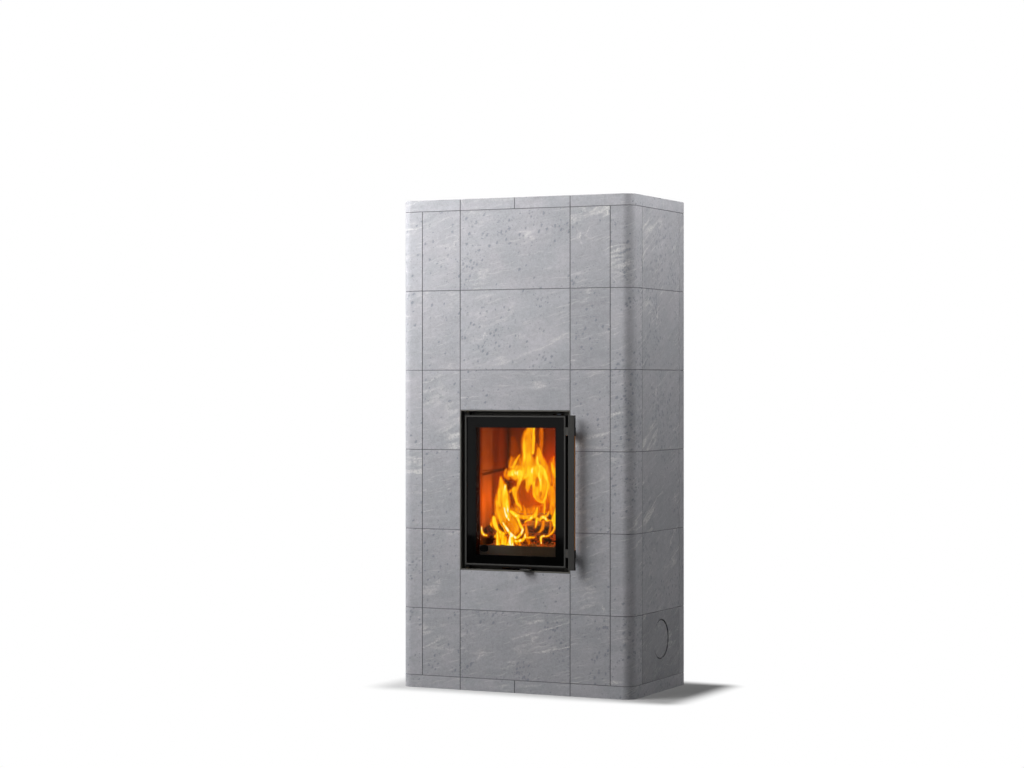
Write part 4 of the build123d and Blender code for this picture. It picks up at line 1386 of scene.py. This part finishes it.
def smooth_line(line: Sequence[Point], steps: int) -> list[Point]:
    """Draw a smooth line through some points, as a Catmull-Rom spline.

    Args:
        line: The points, each with three numbers.
        steps: How many pieces the line gets.

    Returns:
        The points along it.
    """
    spots = [line[0], *line, line[-1]]
    found = []
    for i in range(steps + 1):
        place = i / steps * (len(line) - 1)
        k = min(int(place), len(line) - 2)
        t = place - k
        found.append(tuple(
            (2 * b + (c - a) * t + (2 * a - 5 * b + 4 * c - d) * t * t + (3 * b - a - 3 * c + d) * t ** 3) / 2
            for a, b, c, d in zip(*spots[k:k + 4])))
    return found


@dataclass(frozen=True)
class Lick:
    """One lick of flame.

    Attributes:
        depth: Its y in the firebox.
        heat: Its heat. One below zero makes a hollow in the licks that are listed before it.
        line: The x, z and half width along it.
        halo: How far the faint glow round it reaches.
        halo_heat: The glow's share of the heat.
        ragged: How far its edge is pulled about.
        edge: How far out its edge is, in half widths, where its heat starts to rise.
        thinnest: The least half width.
    """

    depth: float
    heat: float
    line: tuple[Point, ...]
    halo: float = 14.0
    halo_heat: float = 0.32
    ragged: float = 3.0
    edge: float = 1.42
    thinnest: float = 2.5

    def spread(self, step: float) -> Iterable[tuple[tuple[int, int], float]]:
        """Find how much of the lick's heat reaches the places of a grid.

        Args:
            step: The grid's pitch, in mm.

        Yields:
            The numbers of a place, and a share from 0 to 1.
        """
        line = smooth_line(self.line, 4 * (len(self.line) - 1))
        far = self.halo + max(half for _, _, half in line)
        ranges = [range(math.floor((min(p[axis] for p in line) - far) / step),
                        math.ceil((max(p[axis] for p in line) + far) / step) + 1) for axis in (0, 1)]
        for i in ranges[0]:
            for j in ranges[1]:
                pull = noise.noise_vector(Vector((i * step / 15, j * step / 34, 2))) * self.ragged
                x, z = i * step + pull.x, j * step + pull.y
                off, half = min(self.off(x, z, a, b) for a, b in zip(line, line[1:]))
                t = min(1.0, max(0.0, self.edge - off / half))
                glow = 0.0
                if self.heat > 0:
                    glow = max(0.0, 1 - max(0.0, off - half) / self.halo) ** 2 * self.halo_heat
                if t or glow:
                    core = t * t * (3 - 2 * t)
                    yield (i, j), core + (1 - core) * glow

    def off(self, x: float, z: float, a: Point, b: Point) -> tuple[float, float]:
        """Measure how far a place lies from one piece of the line.

        Args:
            x: The place's x.
            z: The place's z.
            a: The point where the piece starts.
            b: The point where it ends.

        Returns:
            The distance, and the half width at the nearest point.
        """
        dx, dz = b[0] - a[0], b[1] - a[1]
        t = min(1.0, max(0.0, ((x - a[0]) * dx + (z - a[1]) * dz) / (dx * dx + dz * dz + 1e-9)))
        return math.hypot(x - a[0] - t * dx, z - a[1] - t * dz), max(self.thinnest, a[2] + (b[2] - a[2]) * t)


@dataclass(frozen=True)
class FlameSheet:
    """One curtain of flame: licks that melt into each other, with hollows between them.

    Attributes:
        licks: Its licks, as they look from the photograph's side.
        step: The pitch of its mesh.
        faintest: The heat below which it has no mesh.
        drawn_at: The y of the plane in which all licks are drawn.
        sideways: How far a lick moves aside for each mm that it stands in front of that plane.
        sway: How far the curtain waves in depth.
    """

    licks: tuple[Lick, ...]
    step: float = 2.3
    faintest: float = 0.02
    drawn_at: float = -60.0
    sideways: float = 0.478
    sway: float = 9.0

    def grid(self, first: int) -> tuple[list[Point], list[Face], list[float]]:
        """Work out the curtain's mesh.

        Args:
            first: The number of its first point.

        Returns:
            Its points in metres, its faces and its heat at each point.
        """
        # For each place of the grid: heat to the fourth, depth by heat squared, and heat squared, summed up
        cells: dict[tuple[int, int], list[float]] = {}
        for lick in self.licks:
            for spot, share in lick.spread(self.step):
                cell = cells.setdefault(spot, [0.0, 0.0, 0.0])
                if lick.heat < 0:
                    cell[0] *= (1 + lick.heat * share) ** 4
                    continue
                hot = lick.heat * share
                for k, part in enumerate((hot ** 4, lick.depth * hot * hot, hot * hot)):
                    cell[k] += part
        heat = {spot: strong ** 0.25 for spot, (strong, _, weight) in cells.items() if weight > 0}
        corners = ((0, 0), (1, 0), (1, 1), (0, 1))
        quads = [[(i + di, j + dj) for di, dj in corners] for i, j in heat]
        quads = [q for q in quads if all(c in heat for c in q) and max(heat[c] for c in q) > self.faintest]
        numbers: dict[tuple[int, int], int] = {}
        points, hot = [], []
        for spot in (c for q in quads for c in q):
            if spot in numbers:
                continue
            numbers[spot] = first + len(points)
            x, z = spot[0] * self.step, spot[1] * self.step
            _, deep, weight = cells[spot]
            y = deep / weight + noise.noise(Vector((x / 26, z / 60, 4))) * self.sway
            points.append(((x + (self.drawn_at - y) * self.sideways) * MM, y * MM, z * MM))
            hot.append(heat[spot])
        return points, [tuple(numbers[c] for c in q) for q in quads], hot


# The main curtain: its broad orange body, the hollows in it, the thin glow round it and its bright licks
MAIN_CURTAIN = FlameSheet((
    Lick(-10, 0.58, ((-42, 850, 20), (-40, 885, 22), (-38, 925, 24), (-37, 948, 23), (-26, 978, 15),
                     (-16, 1012, 9))),
    Lick(-15, 0.60, ((9, 905, 5), (11, 880, 14), (14, 850, 26), (20, 820, 36), (24, 790, 38), (20, 760, 38),
                     (14, 735, 30))),
    Lick(-12, 0.60, ((-38, 880, 14), (-36, 850, 30), (-32, 820, 40), (-30, 790, 34), (-34, 762, 16))),
    Lick(-20, 0.68, ((-112, 808, 14), (-95, 808, 26), (-70, 808, 30), (-45, 808, 26))),
    Lick(-10, 0.36, ((-100, 848, 20), (-85, 850, 22), (-62, 850, 22))),
    Lick(-20, 0.45, ((73, 874, 2), (71, 858, 6), (71, 838, 9), (72, 815, 11), (74, 780, 10), (72, 740, 14),
                     (68, 700, 16), (66, 660, 14))),
    Lick(-14, 0.30, ((66, 868, 4), (63, 845, 12), (66, 790, 14))),
    Lick(0, 0.30, ((56, 775, 18), (60, 720, 24), (62, 680, 20), (60, 650, 16))),
    Lick(10, 0.42, ((-66, 650, 16), (-30, 658, 20), (0, 664, 22), (30, 662, 24))),
    Lick(5, 0.38, ((8, 765, 22), (12, 728, 22), (14, 690, 20))),
    Lick(-30, 0.45, ((-90, 765, 10), (-92, 735, 15), (-86, 705, 15), (-78, 680, 15), (-80, 655, 16))),
    Lick(-10, 0.46, ((-34, 780, 12), (-37, 755, 10), (-38, 736, 5))),
    Lick(0, 0.24, ((2, 918, 5), (3, 890, 13), (3, 870, 14))),
    Lick(-70, 0.58, ((-148, 560, 22), (-146, 620, 26), (-142, 680, 30), (-142, 730, 25), (-146, 762, 15),
                     (-150, 792, 5))),
    Lick(-78, 0.44, ((-166, 725, 7), (-169, 690, 10), (-167, 655, 10), (-163, 630, 9))),
    Lick(-80, 0.50, ((-100, 660, 22), (-96, 625, 28), (-92, 595, 24))),
    Lick(-90, 0.52, ((-185, 630, 7), (-178, 602, 12), (-160, 580, 18), (-142, 560, 24), (-140, 540, 26))),
    Lick(-70, 0.64, ((-150, 790, 3), (-148, 770, 8), (-146, 752, 10))),
    Lick(-40, 0.54, ((62, 755, 8), (60, 725, 10), (66, 700, 9), (74, 690, 5))),
    Lick(0, -0.85, ((-114, 772, 10), (-96, 769, 12), (-84, 761, 8))),
    Lick(0, -0.85, ((-51, 779, 5), (-55, 764, 8))),
    Lick(0, -0.90, ((-68, 738, 8), (-56, 726, 18), (-46, 708, 20), (-36, 692, 12))),
    Lick(0, -0.80, ((-22, 758, 5), (-22, 722, 6))),
    Lick(0, -0.85, ((-4, 694, 8), (14, 692, 7))),
    Lick(0, -0.55, ((20, 678, 7), (18, 660, 6))),
    Lick(0, -0.70, ((49, 692, 6), (46, 668, 6))),
    Lick(0, -0.35, ((15, 734, 8), (14, 726, 8))),
    Lick(0, -0.90, ((-103, 735, 6), (-98, 700, 7))),
    Lick(0, -0.45, ((3, 790, 6), (2, 764, 9))),
    Lick(-80, -0.60, ((-160, 632, 7), (-158, 605, 7))),
    Lick(-80, -0.50, ((-156, 574, 4), (-154, 569, 4))),
    Lick(-80, -0.50, ((-125, 573, 5), (-123, 568, 5))),
    Lick(10, 0.15, ((-92, 860, 24), (-96, 900, 20), (-100, 940, 10))),
    Lick(20, 0.18, ((-50, 640, 40), (-50, 700, 45), (-45, 760, 40))),
    Lick(20, 0.18, ((20, 640, 50), (20, 740, 55), (20, 820, 45))),
    Lick(-5, 0.35, ((20, 1015, 7), (21, 960, 8), (19, 920, 8), (17, 890, 8))),
    Lick(-80, 0.64, ((-168, 700, 5), (-165, 670, 6), (-158, 640, 6), (-150, 620, 5))),
    Lick(-30, 0.42, ((-112, 825, 8), (-110, 845, 8), (-106, 868, 5))),
    Lick(-36, 0.42, ((-128, 822, 5), (-134, 810, 6), (-130, 797, 7), (-118, 788, 7))),
    Lick(-42, 0.56, ((-112, 738, 5), (-102, 746, 6), (-92, 748, 6))),
    Lick(-86, 0.80, ((-156, 752, 5), (-157, 728, 7), (-158, 700, 7), (-156, 685, 4))),
    Lick(-90, 0.88, ((-132, 762, 6), (-133, 735, 11), (-132, 710, 14), (-129, 685, 14), (-125, 662, 12),
                     (-118, 642, 8))),
    Lick(-92, 0.80, ((-118, 668, 8), (-104, 660, 9), (-92, 650, 7))),
    Lick(-96, 1.12, ((-137, 678, 2), (-133, 660, 4), (-126, 645, 5), (-117, 632, 4))),
    Lick(-18, 0.84, ((-52, 940, 4), (-50, 905, 6), (-49, 880, 6), (-48, 855, 4))),
    Lick(-16, 0.77, ((-12, 1010, 5), (-12, 960, 5), (-14, 910, 6), (-17, 885, 5))),
    Lick(-30, 0.80, ((3, 868, 4), (6, 848, 6), (12, 828, 11), (15, 808, 13), (17, 785, 8), (19, 760, 6),
                     (18, 745, 3))),
    Lick(-32, 0.76, ((18, 836, 8), (28, 818, 11), (37, 800, 9), (46, 782, 7), (52, 765, 6), (54, 752, 3))),
    Lick(-28, 0.74, ((-20, 830, 5), (-22, 810, 10), (-24, 788, 9), (-24, 770, 4))),
    Lick(-26, 0.66, ((-24, 820, 14), (0, 815, 18), (18, 812, 14))),
    Lick(-24, 0.58, ((-105, 832, 5), (-75, 831, 7), (-45, 829, 7), (-10, 831, 7), (20, 832, 7))),
    Lick(-40, 0.80, ((-114, 802, 9), (-104, 808, 14), (-90, 812, 11), (-76, 806, 8))),
    Lick(-38, 0.70, ((-84, 808, 15), (-65, 806, 16), (-46, 802, 12))),
    Lick(-36, 0.62, ((-78, 792, 8), (-68, 785, 6))),
    Lick(-38, 0.74, ((-100, 832, 4), (-93, 847, 6), (-84, 860, 5), (-71, 878, 3))),
    Lick(-24, 0.62, ((64, 848, 3), (68, 828, 8), (74, 812, 8), (78, 798, 5))),
    Lick(-44, 0.72, ((-66, 790, 6), (-73, 775, 7), (-80, 757, 6), (-88, 745, 8))),
    Lick(-44, 0.75, ((-96, 752, 7), (-92, 730, 8), (-88, 710, 6), (-80, 692, 5), (-70, 680, 4),
                     (-64, 668, 3))),
    Lick(-34, 0.67, ((-30, 785, 6), (-36, 765, 6), (-38, 748, 4), (-39, 738, 2))),
    Lick(-42, 0.70, ((-12, 775, 7), (-12, 745, 6), (-8, 722, 6), (3, 709, 5), (16, 701, 5), (27, 700, 6))),
    Lick(-44, 0.76, ((30, 702, 6), (36, 714, 5), (41, 730, 4), (45, 748, 4), (47, 765, 3))),
    Lick(-48, 0.72, ((35, 700, 4), (34, 680, 4), (33, 655, 3))),
))

# The licks in front of the logs
FRONT_CURTAIN = FlameSheet((
    Lick(-134, 1.08, ((-143, 624, 3), (-130, 608, 6), (-117, 592, 6), (-104, 578, 6), (-90, 570, 6))),
    Lick(-134, 0.94, ((-90, 570, 5), (-78, 573, 5), (-68, 583, 5), (-60, 597, 5))),
    Lick(-134, 0.86, ((-59, 600, 5), (-66, 615, 6), (-74, 632, 6), (-84, 648, 7), (-96, 660, 8),
                      (-110, 668, 5))),
    Lick(-126, 0.88, ((-180, 644, 6), (-176, 622, 9), (-168, 603, 7), (-156, 590, 6), (-140, 582, 5))),
    Lick(-126, 0.60, ((-190, 622, 4), (-190, 600, 6), (-184, 582, 6), (-175, 572, 6))),
    Lick(-142, 0.84, ((-166, 585, 5), (-164, 560, 7), (-162, 535, 8))),
    Lick(-140, 0.80, ((-150, 578, 10), (-140, 560, 15), (-140, 536, 16))),
    Lick(-144, 1.12, ((-112, 530, 17), (-110, 548, 13), (-108, 565, 8), (-106, 580, 4))),
    Lick(-163, 1.05, ((-231, 606, 2), (-230, 590, 4), (-222, 580, 4), (-209, 575, 2))),
    Lick(-146, 0.98, ((-88, 558, 4), (-74, 560, 5), (-60, 562, 5), (-51, 572, 5), (-48, 582, 4))),
    Lick(-144, 0.55, ((-95, 562, 6), (-82, 549, 4))),
    Lick(-140, 0.50, ((-73, 556, 3), (-73, 542, 4), (-71, 532, 3))),
    Lick(-142, 0.82, ((-45, 572, 3), (-33, 573, 4), (-12, 573, 3))),
    Lick(-138, 0.42, ((-46, 612, 5), (-42, 590, 7), (-40, 570, 8), (-33, 550, 5))),
    Lick(-118, 0.66, ((-84, 652, 7), (-64, 648, 7), (-42, 646, 7), (-28, 650, 7))),
    Lick(-116, 0.45, ((-48, 655, 8), (-52, 675, 6), (-58, 692, 3))),
    Lick(-128, 0.90, ((-20, 648, 6), (-8, 655, 9), (-3, 668, 6), (2, 684, 3))),
    Lick(-130, 0.85, ((-22, 645, 5), (-36, 636, 4), (-50, 630, 2))),
    Lick(-132, 0.85, ((-1, 645, 4), (-3, 628, 4), (-6, 611, 2))),
    Lick(-128, 0.60, ((4, 642, 6), (14, 640, 6))),
    Lick(-130, 0.96, ((14, 640, 4), (20, 648, 6), (31, 649, 6), (40, 641, 5))),
    Lick(-128, 0.66, ((36, 652, 6), (46, 662, 4), (50, 672, 2))),
    Lick(-134, 0.50, ((28, 634, 5), (26, 617, 5), (20, 602, 5), (6, 592, 3))),
    Lick(-132, 0.76, ((42, 636, 3), (54, 638, 3), (62, 638, 4))),
    Lick(-132, 0.84, ((70, 622, 6), (70, 645, 9), (76, 668, 5), (79, 684, 3))),
    Lick(-136, 0.72, ((73, 622, 5), (71, 606, 4), (63, 592, 4), (50, 582, 3), (34, 578, 3))),
    Lick(-148, 1.05, ((18, 553, 2), (17, 568, 4), (20, 578, 4), (30, 579, 3))),
    Lick(-134, 0.40, ((56, 632, 5), (55, 605, 5), (52, 588, 5))),
))


@dataclass
class BurningFire:
    """The fire behind the glass: an ember bed on the grate, split logs and flames."""

    bed_half: tuple[float, float] = (172.0, 92.0)
    bed_middle: float = -48.0
    bed_floor: float = 540.4
    bed_height: float = 13.0
    bed_grid: tuple[int, int] = (34, 58)
    coal_count: int = 90
    coal_half: tuple[float, float] = (4.5, 10.0)
    coal_grid: tuple[int, int] = (6, 8)
    coal_seed: int = 7
    flame_seed: int = 21

    logs: tuple[FireLog, ...] = (
        FireLog((-60, -88, 566), (176, -72, 568), 25, 0.7, 2.2, 2),
        FireLog((-52, -58, 607), (174, -88, 606), 31, 0.6, 1.1, 5),
        FireLog((-168, -138, 588), (-128, 52, 592), 27, 0.65, 0.6, 8),
        FireLog((-150, 18, 574), (150, 30, 572), 32, 0.8, 4.0, 11),
        FireLog((-172, -70, 563), (-60, -120, 560), 20, 0.75, 1.4, 14),
        FireLog((-120, -20, 628), (96, 22, 634), 27, 0.7, 2.9, 17),
    )

    sheets: tuple[FlameSheet, ...] = (MAIN_CURTAIN, FRONT_CURTAIN)

    def build(self) -> None:
        """Build the ember bed, the logs and the flames on the grate."""
        # The noise vectors that pull at the flames' edges differ from run to run unless they are seeded
        noise.seed_set(self.flame_seed)
        finish_piece(self.ember_bed(), AshAndEmber().material(), "grate")
        for number, log in enumerate(self.logs, 1):
            piece = build_mesh(f"fire_log_{number}", *log.grid())
            finish_piece(piece, CharredWood(f"split birch, charred, log {number}").material(), "grate")
        flames = self.flames()
        material = WoodFlame().material()
        # The studio's fire lamps give the fire's light, so the flames aren't sampled and cast no shadow
        material.cycles.emission_sampling = "NONE"
        finish_piece(flames, material, "grate")
        flames.visible_shadow = False

    def ember_bed(self) -> bpy.types.Object:
        """Build the mound of ash with coals on it.

        Returns:
            The piece.
        """
        half_x, half_y = self.bed_half
        rows, columns = self.bed_grid
        points = []
        for i in range(rows):
            for j in range(columns):
                u, v = 2 * j / (columns - 1) - 1, 2 * i / (rows - 1) - 1
                edge = max(0.0, 1 - max(abs(u), abs(v)) ** 6)
                x, y = u * half_x, v * half_y + self.bed_middle
                heaps, lumps = noise.noise(Vector((x, y, 0)) / 22), noise.noise(Vector((x, y, 5)) / 7)
                rise = self.bed_height * edge * max(0.1, 0.6 + 0.7 * heaps + 0.3 * lumps)
                points.append((x * MM, y * MM, (self.bed_floor + rise) * MM))
        faces = grid_faces(rows, columns)
        rng = random.Random(self.coal_seed)
        for _ in range(self.coal_count):
            size = rng.uniform(*self.coal_half)
            x = rng.uniform(-half_x, half_x) * 0.93
            y = self.bed_middle + rng.uniform(-1, 1) * half_y * 0.9
            centre = Vector((x, y, self.bed_floor + self.bed_height * 0.55 + size * 0.6))
            self.add_coal(points, faces, centre, size, rng)
        return build_mesh("ember_bed", points, faces)

    def add_coal(self, points: list[Point], faces: list[Face], centre: Vector, size: float,
                 rng: random.Random) -> None:
        """Add one lump of charcoal to a mesh.

        Args:
            points: The mesh's points, in metres.
            faces: The mesh's faces.
            centre: The lump's middle, in mm.
            size: About half its width, in mm.
            rng: The seeded source of its shape.
        """
        first, (rings, sides) = len(points), self.coal_grid
        stretch = Vector((rng.uniform(0.8, 1.5), rng.uniform(0.8, 1.3), rng.uniform(0.6, 0.9)))
        turn = Matrix.Rotation(rng.uniform(0, math.pi), 3, "Z")
        offset = rng.uniform(0, 90)
        for i in range(rings):
            polar = math.pi * (i + 0.5) / rings
            for j in range(sides):
                around = 2 * math.pi * j / sides
                way = Vector((math.sin(polar) * math.cos(around), math.sin(polar) * math.sin(around),
                              math.cos(polar)))
                lump = 1 + 0.35 * noise.noise(way * 1.6 + Vector((offset, 0, 0)))
                local = turn @ Vector([c * s for c, s in zip(way * lump, stretch)])
                points.append(tuple((centre + local * size) * MM))
        faces += grid_faces(rings, sides, wrap_columns=True, first=first)
        faces.append(tuple(first + j for j in range(sides)))
        faces.append(tuple(first + (rings - 1) * sides + j for j in reversed(range(sides))))

    def flames(self) -> bpy.types.Object:
        """Build all curtains of flame as one piece, with the heat that the flame material reads.

        Returns:
            The piece.
        """
        points, faces, heat = [], [], []
        for sheet in self.sheets:
            for whole, part in zip((points, faces, heat), sheet.grid(len(points))):
                whole += part
        piece = build_mesh("fire_flames", points, faces)
        piece.data.attributes.new(HEAT_LAYER, "FLOAT", "POINT").data.foreach_set("value", heat)
        return piece


@dataclass(frozen=True)
class SoftBox:
    """One soft box: its name, its place, what it points at, its width and height in metres, and its watts."""

    name: str
    place: Point
    target: Point
    size: tuple[float, float]
    power: float

    def hang(self) -> None:
        """Put the lamp into the scene."""
        data = bpy.data.lights.new(self.name, "AREA")
        data.shape, data.size, data.size_y, data.energy = "RECTANGLE", *self.size, self.power
        way = Vector(self.target) - Vector(self.place)
        link_object(self.name, data, self.place).rotation_euler = way.to_track_quat("-Z", "Y").to_euler()


@dataclass(frozen=True)
class FireLamp:
    """One warm lamp in the fire: its name, its place, its radius, its watts, and its green and blue."""

    name: str
    place: Point
    radius: float
    power: float
    green: float
    blue: float = 0.008

    def hang(self) -> None:
        """Put the lamp into the scene."""
        data = bpy.data.lights.new(self.name, "POINT")
        data.energy, data.shadow_soft_size = self.power, self.radius
        data.color = (1.0, self.green, self.blue)
        link_object(self.name, data, self.place)


@dataclass
class Studio:
    """The pale floor, the soft lamps, the firelight and the camera, in metres."""

    camera_place: Point = (3.871, -8.378, 1.1498)
    camera_turn: float = 25.541
    lens: float = 85.01
    sensor: float = 36.0
    floor_half: float = 14.0
    floor_front: float = -8.6
    floor_steps: int = 28
    floor_level: float = -0.0004
    # Half the heater's width and depth, and how much further its shadow reaches on the right
    heater_half: tuple[float, float] = (0.475, 0.255)
    shadow_reach: float = 0.125
    ambient: float = 0.03
    lamps: tuple[SoftBox | FireLamp, ...] = (
        SoftBox("key_softbox", (-2.1, -2.3, 3.12), (0.0, -0.1, 1.2), (3.2, 3.2), 108.0),
        SoftBox("key_fill", (-3.0, -2.2, 2.0), (0.0, 0.0, 1.2), (3.0, 3.0), 11.5),
        SoftBox("left_softbox", (-4.0, -0.8, 2.4), (0.0, 0.0, 1.2), (2.4, 2.4), 33.5),
        SoftBox("left_kicker", (-1.5, -1.6, 2.6), (-0.2, -0.2, 1.4), (1.5, 1.5), 40.0),
        SoftBox("right_softbox", (3.4, 0.2, 2.6), (0.0, 0.0, 1.3), (1.4, 1.6), 16.3),
        SoftBox("right_kicker", (1.3, -0.5, 2.5), (0.4, 0.0, 1.5), (0.6, 0.6), 4.5),
        SoftBox("right_rim", (1.5, 0.1, 2.5), (0.45, 0.0, 1.5), (0.6, 0.6), 10.4),
        SoftBox("back_left_fill", (-2.6, 2.2, 2.8), (0.0, 0.0, 1.2), (1.4, 1.4), 13.2),
        SoftBox("back_fill", (-0.4, 3.4, 2.4), (0.0, 0.0, 1.0), (1.6, 1.6), 8.0),
        SoftBox("guard_fill", (-0.12, -0.236, 0.575), (-0.135, -0.172, 0.512), (0.09, 0.02), 0.05),
        FireLamp("fire_glow_low", (-0.05, -0.02, 0.705), 0.05, 5.2, 0.25),
        FireLamp("fire_glow_left", (-0.10, -0.11, 0.70), 0.03, 2.3, 0.27),
        FireLamp("fire_glow_high", (0.02, -0.01, 0.83), 0.07, 4.0, 0.18),
    )

    def build(self) -> None:
        """Build the floor, the lamps, the world and the camera."""
        self.floor()
        for lamp in self.lamps:
            lamp.hang()
        self.world()
        self.camera()
        bpy.context.scene.view_settings.view_transform = "Standard"

    @staticmethod
    def white_rays(r: Recipe, rays: bpy.types.Node) -> bpy.types.Node:
        """Find the rays that show the white studio: from the camera, off gloss or through glass.

        Args:
            r: The recipe of the floor or the world.
            rays: Its light path.

        Returns:
            A node that is 1 for them.
        """
        names = "Is Camera Ray", "Is Glossy Ray", "Is Transmission Ray"
        camera, glossy, through = [rays.outputs[name] for name in names]
        return r.add("Math", [r.add("Math", [camera, glossy], operation="MAXIMUM"), through],
                     operation="MAXIMUM")

    def floor(self) -> None:
        """Build the floor, which is white to the camera away from the heater and keeps its shadow near it."""
        half, steps = self.floor_half, self.floor_steps
        deep = half - self.floor_front
        points = [(half * (2 * j / steps - 1), self.floor_front + deep * i / steps, self.floor_level)
                  for i in range(steps + 1) for j in range(steps + 1)]
        floor = build_mesh("floor", points, grid_faces(steps + 1, steps + 1))
        r = Recipe("pale studio floor")
        rays = r.add("LightPath")
        away, x = self.from_heater(r), r.add("SeparateXYZ", [r.place]).outputs["X"]
        # The shadow is narrower on the right, where the floor lies out of the key light, and darker there by
        # painted shadow in the floor's grey
        width = r.add("MapRange", [x, 0.3, 0.6, 0.16, 0.125])
        grey = r.add("MapRange", [x, 0.3, 0.55, 0.62, 0.42])
        clear = r.add("MapRange", [r.add("Math", [away, width], operation="DIVIDE"), 0.0, 1.0, 0.0, 1.0],
                      interpolation_type="SMOOTHSTEP")
        near = r.add("BsdfDiffuse", {"Color": r.add("CombineXYZ", [grey, grey, grey])})
        white = r.add("MixShader", [clear, near, r.add("Emission", {"Color": (1, 1, 1, 1), "Strength": 1.0})])
        plain = r.add("BsdfDiffuse", {"Color": (0.1, 0.1, 0.1, 1)})
        # From 3 to 4.5 m away the floor fades from white for gloss and glass, and not for the camera
        close = r.add("MapRange", [away, 3.0, 4.5, 1.0, 0.0])
        reach = r.add("Math", [close, rays.outputs["Is Camera Ray"]], operation="MAXIMUM")
        shown = r.add("Math", [self.white_rays(r, rays), reach], operation="MULTIPLY")
        floor.data.materials.append(r.close(r.add("MixShader", [shown, plain, white])))

    def from_heater(self, r: Recipe) -> bpy.types.NodeSocket:
        """Measure how far a place on the floor lies from the heater's foot and its shadow.

        Args:
            r: The floor's recipe.

        Returns:
            The distance in metres.
        """
        half_x, half_y = self.heater_half
        middle = r.add("VectorMath", [r.place, (self.shadow_reach / 2, 0.0, 0.0)], operation="SUBTRACT")
        beyond = r.add("VectorMath", [r.add("VectorMath", [middle], operation="ABSOLUTE"),
                                      (half_x + self.shadow_reach / 2, half_y, 1.0)], operation="SUBTRACT")
        outside = r.add("VectorMath", [beyond, (0.0, 0.0, 0.0)], operation="MAXIMUM")
        return r.add("VectorMath", [outside], operation="LENGTH").outputs["Value"]

    def world(self) -> None:
        """Light the scene softly from all round, and show white behind it."""
        r = Recipe("studio", for_world=True)
        soft, white = [r.add("Background", {"Color": (1, 1, 1, 1), "Strength": strength})
                       for strength in (self.ambient, 1.0)]
        shown = self.white_rays(r, r.add("LightPath"))
        bpy.context.scene.world = r.close(r.add("MixShader", [shown, soft, white]), "OutputWorld")

    def camera(self) -> None:
        """Stand the camera where the photograph was taken from."""
        data = bpy.data.cameras.new("photo_camera")
        data.lens, data.sensor_width, data.sensor_fit = self.lens, self.sensor, "HORIZONTAL"
        data.clip_start, data.clip_end = 0.1, 100.0
        camera = link_object("photo_camera", data, self.camera_place)
        camera.rotation_euler = (math.radians(90), 0.0, math.radians(self.camera_turn))
        bpy.context.scene.camera = camera


def main() -> None:
    """Dress the heater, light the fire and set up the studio."""
    logging.basicConfig(level=logging.INFO, format="%(name)s: %(message)s")
    StoneTower().dress()
    FireCore().dress()
    door = GlazedDoor()
    door.dress()
    door.build()
    BarHandle().dress()
    AirAndAsh().dress()
    FlueOutlet().dress()
    BurningFire().build()
    Studio().build()


if __name__ == "__main__":
    main()
